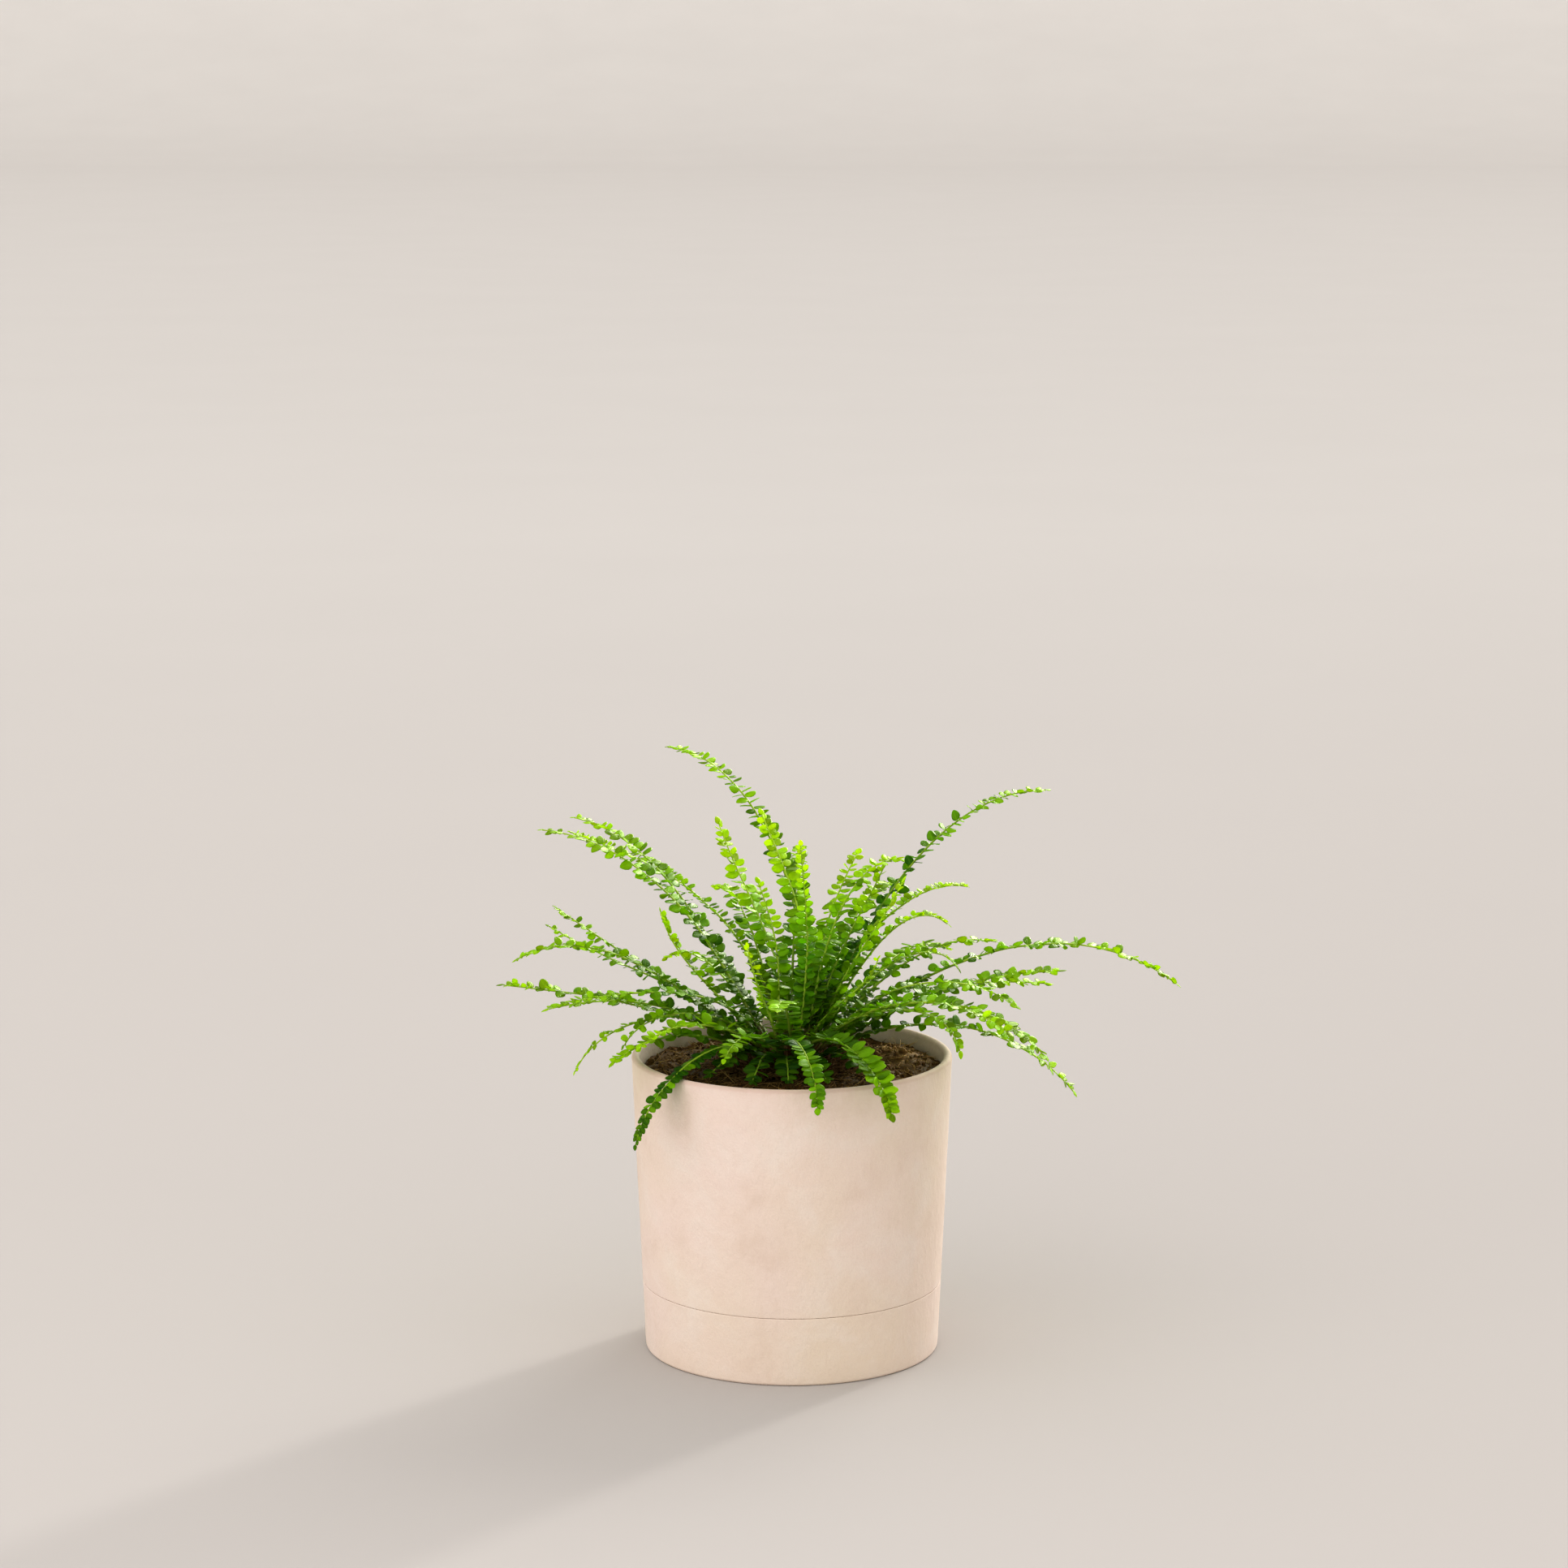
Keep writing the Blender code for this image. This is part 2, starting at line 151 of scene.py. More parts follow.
# LEAF_DEEP: a darker tone of some leaflets, and also the painted shade near the crown.
LEAF_DEEP = (0.010, 0.075, 0.0003)
LEAF_RIB = (0.390, 0.680, 0.025)
LEAF_UNDER = (0.170, 0.420, 0.008)
OLD_GLOW = (0.420, 0.740, 0.002)
YOUNG_GLOW = (0.940, 1.000, 0.030)
STALK_OLD = (0.150, 0.260, 0.010)
STALK_YOUNG = (0.440, 0.640, 0.040)
STALK_BASE = (0.090, 0.060, 0.010)
STALK_PALE = (0.420, 0.480, 0.070)


# ---------------------------------------------------------------- surfaces


def grid_quads(rows, columns, close_rows=False, close_columns=True):
    """Quads that join each point of a rows x columns grid to the next row and column; a closed one wraps."""
    i = np.arange(rows if close_rows else rows - 1)[:, None]
    j = np.arange(columns if close_columns else columns - 1)[None, :]
    below, right = (i + 1) % rows, (j + 1) % columns
    corners = (i * columns + j, i * columns + right, below * columns + right, below * columns + j)
    return np.stack(corners, -1).reshape(-1, 4)


def tube_faces(rings, around):
    """Quads and end triangles of a closed tube, whose points run: start point, rings, end point."""
    quads = grid_quads(rings, around) + 1
    j = np.arange(around)
    after = (j + 1) % around
    end = 1 + rings * around
    last = end - around
    start_fan = np.stack([np.zeros_like(j), 1 + after, 1 + j], -1)
    end_fan = np.stack([np.full_like(j, end), last + j, last + after], -1)
    return quads, np.concatenate([start_fan, end_fan])


def repeat_faces(faces, count, points_each):
    """The same faces again for each of count equal stretches of points."""
    return (faces[None] + (np.arange(count) * points_each)[:, None, None]).reshape(-1, faces.shape[1])


def volume(points, quads, tris):
    """Signed volume: the sum over triangles of the box product of their corners, over six."""
    every = np.concatenate([quads[:, [0, 1, 2]], quads[:, [0, 2, 3]], tris])
    a, b, c = (points[every[:, k]] for k in range(3))
    return np.einsum("ij,ij->", a, np.cross(b, c)) / 6


def put(name, data):
    """A new object for this data, in the scene."""
    made = bpy.data.objects.new(name, data)
    bpy.context.scene.collection.objects.link(made)
    return made


def lay_piece(name, points, quads, tris, finishes, picks=None, uv=None, values=None):
    """Makes an object from point and face arrays. picks gives each face's finish, quads first, and values
    holds one number per point under each attribute's name."""
    if volume(points, quads, tris) < 0:
        quads, tris = quads[:, ::-1], tris[:, ::-1]
    mesh = bpy.data.meshes.new(name)
    mesh.vertices.add(len(points))
    mesh.vertices.foreach_set("co", points.astype(np.float32).ravel())
    corners = np.concatenate([quads.ravel(), tris.ravel()]).astype(np.int32)
    starts = np.concatenate([np.arange(len(quads)) * 4, len(quads) * 4 + np.arange(len(tris)) * 3])
    mesh.loops.add(len(corners))
    mesh.loops.foreach_set("vertex_index", corners)
    mesh.polygons.add(len(starts))
    mesh.polygons.foreach_set("loop_start", starts.astype(np.int32))
    for finish in finishes:
        mesh.materials.append(finish)
    if picks is not None:
        mesh.polygons.foreach_set("material_index", picks.astype(np.int32))
    mesh.update(calc_edges=True)
    if uv is not None:
        layer = mesh.uv_layers.new(name="UVMap")
        layer.uv.foreach_set("vector", uv[corners].astype(np.float32).ravel())
    for key, numbers in (values or {}).items():
        mesh.attributes.new(key, "FLOAT", "POINT").data.foreach_set("value", numbers.astype(np.float32))
    mesh.shade_smooth()
    return put(name, mesh)


def settle(made, node):
    """Puts a finished piece in the place of its CAD node."""
    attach(made, "root")
    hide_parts(node)


def smooth_step(low, high, x):
    """0 below low, 1 above high, and 3t^2 - 2t^3 between."""
    t = np.clip((x - low) / (high - low), 0, 1)
    return t * t * (3 - 2 * t)


def lattice_noise(points, seed):
    """Smooth noise from -1 to 1: a scrambled value at each whole-number lattice point, blended between by
    3t^2 - 2t^3 along each axis."""
    cell = np.floor(points).astype(np.int64)
    part = points - cell
    part = part * part * (3 - 2 * part)
    total = np.zeros(points.shape[:-1])
    for corner in range(8):
        step = np.array([corner & 1, corner >> 1 & 1, corner >> 2])
        key = (cell + step) @ np.array([73856093, 19349663, 83492791]) + seed * 2654435761
        key = (key ^ (key >> 13)) * 1274126177 & 0xFFFFFFFF
        key = (key ^ (key >> 16)) & 0xFFFFFF
        total += (key / 0x7FFFFF - 1) * np.where(step, part, 1 - part).prod(-1)
    return total


def layered_noise(points, seed, layers):
    """Sum of lattice noise, each layer half as strong and twice as fine as the one before."""
    return sum(lattice_noise(points * 2**k, seed + k) / 2**k for k in range(layers))


def round_angles(count):
    """Evenly spaced angles once round, in radians."""
    return np.arange(count) * math.tau / count


def unit(vectors):
    """Vectors over their own lengths."""
    return vectors / np.linalg.norm(vectors, axis=-1, keepdims=True)


def turn_about(vectors, axes, angles):
    """Vectors turned about unit axes by Rodrigues' rule: v cos + (a x v) sin + a (a.v)(1 - cos)."""
    c, s = np.cos(angles)[..., None], np.sin(angles)[..., None]
    along = (axes * vectors).sum(-1, keepdims=True)
    return vectors * c + np.cross(axes, vectors) * s + axes * along * (1 - c)


def curve_through(marks, values, at):
    """Cubic Hermite curve through values at marks, read at other marks; slopes come from the neighbours."""
    slopes = np.gradient(values, marks, axis=0, edge_order=2)
    i = np.clip(np.searchsorted(marks, at) - 1, 0, len(marks) - 2)
    step = (marks[i + 1] - marks[i])[:, None]
    t = (at - marks[i])[:, None] / step
    rest = 1 - t
    ends = values[i] * (1 + 2 * t) * rest**2 + values[i + 1] * t * t * (3 - 2 * t)
    return ends + step * (slopes[i] * t * rest**2 - slopes[i + 1] * t * t * rest)


def carried_tube(path, radii, around, across, above):
    """A closed round tube: at each path point a ring of points at the given radius in the plane of the
    across and above vectors, with a point on the path at each end. Works for many paths at once."""
    angle = round_angles(around)
    ring = across[..., None, :] * np.cos(angle)[:, None] + above[..., None, :] * np.sin(angle)[:, None]
    rings = path[..., None, :] + ring * radii[..., None, None]
    rings = rings.reshape(*path.shape[:-2], -1, 3)
    return np.concatenate([path[..., :1, :], rings, path[..., -1:, :]], -2)


# ---------------------------------------------------------------- finishes


class Finish:
    """A node material that is put together from the few kinds of node that these finishes need."""

    def __init__(self, name):
        self.material = bpy.data.materials.new(name)
        self.material.use_nodes = True
        self.tree = self.material.node_tree
        self.shader = self.tree.nodes["Principled BSDF"]
        self.output = self.tree.nodes["Material Output"]

    def node(self, kind, **settings):
        """A new node with these settings."""
        made = self.tree.nodes.new(kind)
        for key, value in settings.items():
            setattr(made, key, value)
        return made

    def join(self, source, target):
        self.tree.links.new(source, target)

    def feed(self, sockets, values):
        """Gives each socket its value: a number, a colour, or the output of another node."""
        for socket, value in zip(sockets, values):
            if isinstance(value, tuple):
                socket.default_value = (*value, 1.0)
            elif isinstance(value, (int, float)):
                socket.default_value = value
            else:
                self.join(value, socket)

    def places(self):
        """Places on the piece, in its own coordinates."""
        return self.node("ShaderNodeTexCoord").outputs["Object"]

    def noise(self, scale, detail, roughness, stretch=None, distortion=0.0):
        """Layered noise of so many cells per metre; a stretch below 1 draws it out along that axis."""
        made = self.node("ShaderNodeTexNoise")
        sockets = [made.inputs[key] for key in ("Scale", "Detail", "Roughness", "Distortion")]
        self.feed(sockets, (scale, detail, roughness, distortion))
        place = self.places()
        if stretch:
            mapping = self.node("ShaderNodeMapping")
            mapping.inputs["Scale"].default_value = stretch
            self.join(place, mapping.inputs["Vector"])
            place = mapping.outputs["Vector"]
        self.join(place, made.inputs["Vector"])
        return made.outputs["Fac"]

    def attribute(self, name):
        """The number that lay_piece gave every point under this name."""
        return self.node("ShaderNodeAttribute", attribute_name=name).outputs["Fac"]

    def spread(self, value, low, high, to_low=0.0, to_high=1.0, smooth=False):
        """Maps low..high onto to_low..to_high and holds the ends."""
        made = self.node("ShaderNodeMapRange", interpolation_type="SMOOTHSTEP" if smooth else "LINEAR")
        keys = ("Value", "From Min", "From Max", "To Min", "To Max")
        self.feed([made.inputs[key] for key in keys], (value, low, high, to_low, to_high))
        return made.outputs["Result"]

    def maths(self, kind, first, second=0.0):
        """One sum on a value or two."""
        made = self.node("ShaderNodeMath", operation=kind)
        self.feed(made.inputs, (first, second))
        return made.outputs["Value"]

    def blend(self, share, first, second):
        """The first colour, with this share of it given over to the second."""
        made = self.node("ShaderNodeMix", data_type="RGBA")
        self.feed([made.inputs[k] for k in (0, 6, 7)], (share, first, second))
        return made.outputs[2]

    def coats(self, colour, *coats):
        """Lays coats over a colour, each a share and the colour that it brings."""
        for share, tint in coats:
            colour = self.blend(share, colour, tint)
        return colour

    def bump(self, height, distance, strength, after=None):
        """A surface raised by height, on top of the relief that came before it."""
        made = self.node("ShaderNodeBump")
        sockets = [made.inputs[key] for key in ("Strength", "Distance", "Height")]
        self.feed(sockets, (strength, distance, height))
        if after is not None:
            self.join(after, made.inputs["Normal"])
        return made.outputs["Normal"]

    def set(self, **sockets):
        """Sets the shader's own sockets, by constant or by link; underscores stand for spaces."""
        self.feed([self.shader.inputs[key.replace("_", " ")] for key in sockets], sockets.values())


def clay_finish():
    """Matte clay: broad clouds from pink to sand, small paler and deeper patches, a fine grain, and the
    shallow dimples of a hand-smoothed wall, a little drawn out upwards."""
    clay = Finish("matte_clay")
    clouds = clay.noise(9, 3, 0.5, distortion=0.3)
    patches = clay.noise(34, 5, 0.62, distortion=0.4)
    streaks = clay.noise(120, 4, 0.6, stretch=(1, 1, 0.35))
    grain = clay.noise(1100, 3, 0.6)
    dimples = clay.noise(330, 4, 0.62, stretch=(1, 1, 0.6))
    stain = clay.maths("MULTIPLY", clay.attribute("soiled"), clay.spread(dimples, 0.35, 0.65, 0.15, 1.0))
    colour = clay.coats(
        clay.blend(clay.spread(clouds, 0.36, 0.64), CLAY_PINK, CLAY_SAND),
        (clay.spread(patches, 0.50, 0.76, 0, 0.50), CLAY_PALE),
        (clay.spread(patches, 0.46, 0.26, 0, 0.38), CLAY_DEEP),
        (clay.spread(streaks, 0.55, 0.75, 0, 0.16), CLAY_DEEP),
        (clay.spread(grain, 0.45, 0.80, 0, 0.14), CLAY_DEEP),
        # Painted shade: a darker pink along the top of the lip, by the rim band.
        (clay.maths("MULTIPLY", clay.attribute("rim"), 0.50), CLAY_LIP_SHADE),
        (stain, CLAY_STAIN),
    )
    rough = clay.spread(patches, 0.3, 0.7, 0.70, 0.86)
    swell = clay.bump(clay.noise(70, 3, 0.5, stretch=(1, 1, 0.5)), 1.0 * MM, 0.5)
    coarse = clay.bump(dimples, 0.45 * MM, 0.9, after=swell)
    fine = clay.bump(grain, 0.14 * MM, 0.7, after=coarse)
    clay.set(Base_Color=colour, Roughness=rough, Normal=fine, Specular_IOR_Level=0.12)
    return clay.material


def soil_finish():
    """Peat and coir: near black where it is wet and deep, ginger on the dry crumbs and fibres."""
    soil = Finish("potting_soil")
    clods = soil.noise(160, 5, 0.7)
    specks = soil.noise(1100, 4, 0.7)
    colour = soil.coats(
        soil.blend(soil.spread(clods, 0.32, 0.68), SOIL_DARK, SOIL_BROWN),
        (soil.spread(specks, 0.45, 0.74, 0, 0.80), SOIL_GINGER),
        # dry: the straw of dry crumbs and fibres, which on the mound is partly painted sunlight.
        (soil.maths("MULTIPLY", soil.attribute("dry"), 0.85), SOIL_STRAW),
    )
    height = soil.bump(clods, 1.2 * MM, 0.7)
    height = soil.bump(specks, 0.35 * MM, 0.8, after=height)
    rough = soil.spread(specks, 0.3, 0.7, 0.75, 0.98)
    soil.set(Base_Color=colour, Roughness=rough, Normal=height, Specular_IOR_Level=0.05)
    return soil.material


def crown_finish():
    """Crown: chestnut papery scales over darker old stalk bases, paler at the tips."""
    crown = Finish("crown_scales")
    streaks = crown.noise(420, 4, 0.6, stretch=(1, 1, 0.3))
    colour = crown.coats(
        crown.blend(crown.spread(streaks, 0.3, 0.7), CROWN_DARK, CROWN_CHESTNUT),
        (crown.maths("MULTIPLY", crown.attribute("dry"), 0.8), CROWN_TAN),
    )
    normal = crown.bump(streaks, 0.4 * MM, 0.8)
    rough = crown.spread(streaks, 0.3, 0.7, 0.82, 0.96)
    crown.set(Base_Color=colour, Roughness=rough, Normal=normal, Specular_IOR_Level=0.08)
    return crown.material


def leaf_finish(name, old_colour, young_colour):
    """Leaflet: a shiny skin over a leaf that lets light through. Age runs from old to young along the frond,
    each leaflet has its own shade, inner paints shade on those near the crown, and the map across a leaflet
    draws its midrib, side veins and pale margin."""
    leaf = Finish(name)
    age, shade = leaf.attribute("age"), leaf.attribute("shade")
    under, inner = leaf.attribute("under"), leaf.attribute("inner")
    map_place = leaf.node("ShaderNodeUVMap", uv_map="UVMap").outputs["UV"]
    split = leaf.node("ShaderNodeSeparateXYZ")
    leaf.join(map_place, split.inputs[0])
    across, along = split.outputs[0], split.outputs[1]
    off_rib = leaf.maths("ABSOLUTE", leaf.maths("SUBTRACT", across, 0.5))
    midrib = leaf.spread(off_rib, 0.0, 0.06, 1.0, 0.0, smooth=True)
    # Side veins: stripes that leave the midrib forwards, from the length minus a share of the distance out.
    slant = leaf.maths("SUBTRACT", along, leaf.maths("MULTIPLY", off_rib, 0.7))
    wave = leaf.maths("SINE", leaf.maths("MULTIPLY", slant, VEIN_WAVES))
    veins = leaf.spread(wave, 0.72, 1.0, 0.0, 1.0, smooth=True)
    margin = leaf.spread(off_rib, 0.40, 0.5, 0.0, 1.0, smooth=True)
    blotch = leaf.noise(420, 3, 0.6)
    colour = leaf.coats(
        leaf.blend(age, old_colour, young_colour),
        (leaf.spread(shade, 0.5, 1.0, 0.0, 0.72), LEAF_LIGHT),
        (leaf.spread(shade, 0.5, 0.0, 0.0, 0.75), LEAF_DEEP),
        (leaf.spread(blotch, 0.4, 0.7, 0, 0.22), LEAF_DEEP),
        # Painted shade: inner darkens the leaflets near the crown, and all of the front tufts, towards the
        # deep green.
        (leaf.maths("MULTIPLY", inner, 0.64), LEAF_DEEP),
        (leaf.maths("MULTIPLY", midrib, 0.45), LEAF_RIB),
        (leaf.maths("MULTIPLY", veins, 0.14), LEAF_RIB),
        (leaf.maths("MULTIPLY", margin, 0.18), LEAF_RIB),
        (leaf.maths("MULTIPLY", under, 0.25), LEAF_UNDER),
    )
    rough = leaf.spread(blotch, 0.3, 0.7, 0.32, 0.46)
    rough = leaf.maths("ADD", rough, leaf.maths("MULTIPLY", under, 0.2))
    relief = leaf.maths("SUBTRACT", leaf.maths("MULTIPLY", veins, -0.35), midrib)
    normal = leaf.bump(relief, 0.10 * MM, 0.6)
    normal = leaf.bump(blotch, 0.08 * MM, 0.5, after=normal)
    leaf.set(Base_Color=colour, Roughness=rough, Normal=normal, Specular_IOR_Level=0.20)
    glow = leaf.node("ShaderNodeBsdfTranslucent")
    glow_colour = leaf.blend(age, OLD_GLOW, YOUNG_GLOW)
    leaf.join(leaf.blend(0.35, glow_colour, colour), glow.inputs["Color"])
    both = leaf.node("ShaderNodeMixShader")
    both.inputs[0].default_value = LEAF_CLEAR
    leaf.join(leaf.shader.outputs[0], both.inputs[1])
    leaf.join(glow.outputs[0], both.inputs[2])
    leaf.join(both.outputs[0], leaf.output.inputs["Surface"])
    return leaf.material


def stalk_finish():
    """Stalk: straw green, browner towards the crown, with fine lengthwise streaks."""
    stalk = Finish("frond_stalk")
    streaks = stalk.noise(700, 3, 0.6)
    colour = stalk.coats(
        stalk.blend(stalk.attribute("age"), STALK_OLD, STALK_YOUNG),
        (stalk.attribute("low"), STALK_BASE),
        (stalk.spread(streaks, 0.35, 0.7, 0, 0.35), STALK_PALE),
    )
    normal = stalk.bump(streaks, 0.1 * MM, 0.5)
    rough = stalk.spread(streaks, 0.3, 0.7, 0.5, 0.65)
    stalk.set(Base_Color=colour, Roughness=rough, Normal=normal, Specular_IOR_Level=0.2)
    return stalk.material


# ---------------------------------------------------------------- fronds


def blade_stations(node):
    """Stations of a frond's CAD blade from stalk to tip, as (centres, half widths, up vectors).

    The blade is a chain of four-point rings. A ring's level is its number of edges from the one at the
    crown. Its two points that lie furthest apart are its edges, their middle is the centre, and the further
    of the other two hangs below.
    """
    mesh = frame["nodes"][node].data
    loose = np.empty(len(mesh.vertices) * 3)
    mesh.vertices.foreach_get("co", loose)
    loose = loose.reshape(-1, 3)
    near = np.linalg.norm(loose[:, None] - loose[None], axis=-1) < 0.1 * MM
    kept, index = np.unique(near.argmax(1), return_inverse=True)
    points = loose[kept]
    corners = np.empty(len(mesh.loops), np.int32)
    mesh.loops.foreach_get("vertex_index", corners)
    tris = index[corners].reshape(-1, 3)
    joined = np.zeros((len(points), len(points)), bool)
    joined[tris, np.roll(tris, 1, 1)] = joined[np.roll(tris, 1, 1), tris] = True
    crown_top = np.array([0, 0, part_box("crown")[1][2]])
    first = points[np.linalg.norm(points - crown_top, axis=1).argmin()]
    level = np.full(len(points), -1)
    reached = np.zeros(len(points), bool)
    reached[np.linalg.norm(points - first, axis=1).argsort()[:4]] = True
    step = 0
    while (level < 0).any():
        level[reached & (level < 0)] = step
        reached |= joined[reached].any(0)
        step += 1
    rings = points[np.argsort(level, kind="stable")].reshape(-1, 4, 3)
    apart = np.linalg.norm(rings[:, :, None] - rings[:, None], axis=-1).reshape(len(rings), 16)
    widest = apart.argmax(1)
    rows = np.arange(len(rings))
    one, other = rings[rows, widest // 4], rings[rows, widest % 4]
    centres = (one + other) / 2
    from_centre = np.linalg.norm(rings - centres[:, None], axis=-1)
    from_centre[rows, widest // 4] = from_centre[rows, widest % 4] = 0
    below = rings[rows, from_centre.argmax(1)]
    return centres, apart.max(1) / 2, unit(centres - below)


def leaf_size(share, habit):
    """Size of a leaflet at a share of the frond's length: none on the bare stalk, full up to where the frond
    starts to taper, and its end size at the tip."""
    opening = smooth_step(BARE_STALK - 0.07, BARE_STALK + 0.10, share)
    return opening * (1 - (1 - habit["end"]) * smooth_step(habit["taper"], 1.05, share))


def leaflet_places(length, habit, rng):
    """Marks of the leaflets along one side, closer where they are smaller: the running sum of one over the
    spacing, read off at every whole number. A few have fallen."""
    marks = np.linspace(BARE_STALK, 0.985, 400)
    low = 1 - 0.38 * (1 - smooth_step(0.1, 0.45, marks))
    spacing = habit["pitch"] * low * (0.20 + 0.80 * leaf_size(marks, habit))
    turns = np.concatenate([[0], np.cumsum(length * np.diff(marks) / spacing[1:])])
    left = np.interp(np.arange(0.1, turns[-1], 1.0), turns, marks)
    right = np.interp(np.arange(0.6, turns[-1], 1.0), turns, marks)
    marks = np.concatenate([left, right])
    sides = np.concatenate([np.ones(len(left)), -np.ones(len(right))])
    stay = rng.uniform(0, 1, len(marks)) > habit["fallen"]
    marks = marks[stay] + rng.normal(0, 0.12, stay.sum()) * habit["pitch"] / length
    return np.append(marks.clip(BARE_STALK * 0.9, 0.99), 0.995), np.append(sides[stay], 0)


def leaflets(base, out, normal, length, width, lean, cup, fold, curl):
    """Closed thin leaflets, one per row of the arguments.

    Along the leaflet the half width is width sin(pi u^p)^0.6, a round button. The power p is smaller on the
    edge towards the frond's tip, by lean, so that edge is fuller near the stalk. Round the leaflet the angle
    goes from edge to edge over the top and back underneath. The surface rises by fold times the distance
    from the midrib, falls by cup times its square, and bends down by curl u^2 along its length.
    """
    u = LEAF_RINGS[:, None]
    angle = round_angles(LEAF_AROUND)[None]
    one = (slice(None), None, None)
    power = 0.80 + 0.14 * lean[one] * np.cos(angle)
    outline = np.sin(math.pi * u**power) ** 0.6
    x = np.cos(angle) * outline
    groove = np.where(np.abs(np.cos(angle)) < 0.1, -0.25, 0.0)
    skin = LEAF_HALF_THICK * np.sin(angle) * np.sqrt(outline)
    shape_x = width[one] * x
    lift = width[one] * (fold[one] * (np.abs(x) + groove) - cup[one] * x * x)
    lift = lift - (curl * length)[one] * (u * u) + skin
    side = np.cross(normal, out)
    grid = base[:, None, None] + out[:, None, None] * (length[one] * u)[..., None]
    grid = grid + side[:, None, None] * shape_x[..., None] + normal[:, None, None] * lift[..., None]
    tip = base + out * length[:, None] - normal * (curl * length)[:, None]
    grid = grid.reshape(len(base), -1, 3)
    return np.concatenate([base[:, None], grid, tip[:, None]], 1)


def leaflet_map():
    """Place on the leaflet of each of its points: across from 0 to 1, and along from 0 to 1."""
    angle = round_angles(LEAF_AROUND)[None]
    across = 0.5 + 0.5 * np.cos(angle) + 0 * LEAF_RINGS[:, None]
    along = LEAF_RINGS[:, None] + 0 * angle
    middle = np.stack([across, along], -1).reshape(-1, 2)
    return np.concatenate([[[0.5, 0.0]], middle, [[0.5, 1.0]]])


def leaflet_under():
    """1 on a leaflet's underside points and 0 on the others."""
    angle = round_angles(LEAF_AROUND)[None]
    below = (np.sin(angle) < -0.1) + 0 * LEAF_RINGS[:, None]
    return np.concatenate([[0], below.ravel(), [0]]).astype(float)


def frond_habit(node, centres, rng):
    """How a frond holds its leaflets; steep fronds are younger.

    age and tip_age: colour age at the crown and what the tip adds to it. end and taper: the size at the tip
    and where the taper starts. pitch: the spacing on one side. fallen: the share that is missing. shelve:
    how far a leaflet turns its face to the sky. lift: the angle of the two rows. loose: how much leaflets
    differ. plump: their size. deep: the least painted shade, which inner lays on leaflets near the crown.
    """
    rise = centres[-1, 2] - centres[0, 2]
    reach = np.linalg.norm(centres[-1, :2] - centres[0, :2])
    young = smooth_step(0.5, 2.2, rise / max(reach, 1 * MM))
    habit = {
        "age": 0.12 + 0.35 * young + rng.uniform(-0.10, 0.16),
        "tip_age": 0.6,
        "end": rng.uniform(0.50, 0.64),
        "taper": rng.uniform(0.52, 0.68),
        "pitch": rng.uniform(3.5, 4.1) * MM,
        "fallen": rng.uniform(0.0, 0.05),
        "shelve": rng.uniform(28, 54),
        "lift": rng.uniform(-6, 14),
        "loose": 22.0,
        "plump": rng.uniform(1.00, 1.16),
        "deep": 0.0,
    }
    habit.update(HABITS.get(node.removeprefix("frond_"), {}))
    return habit


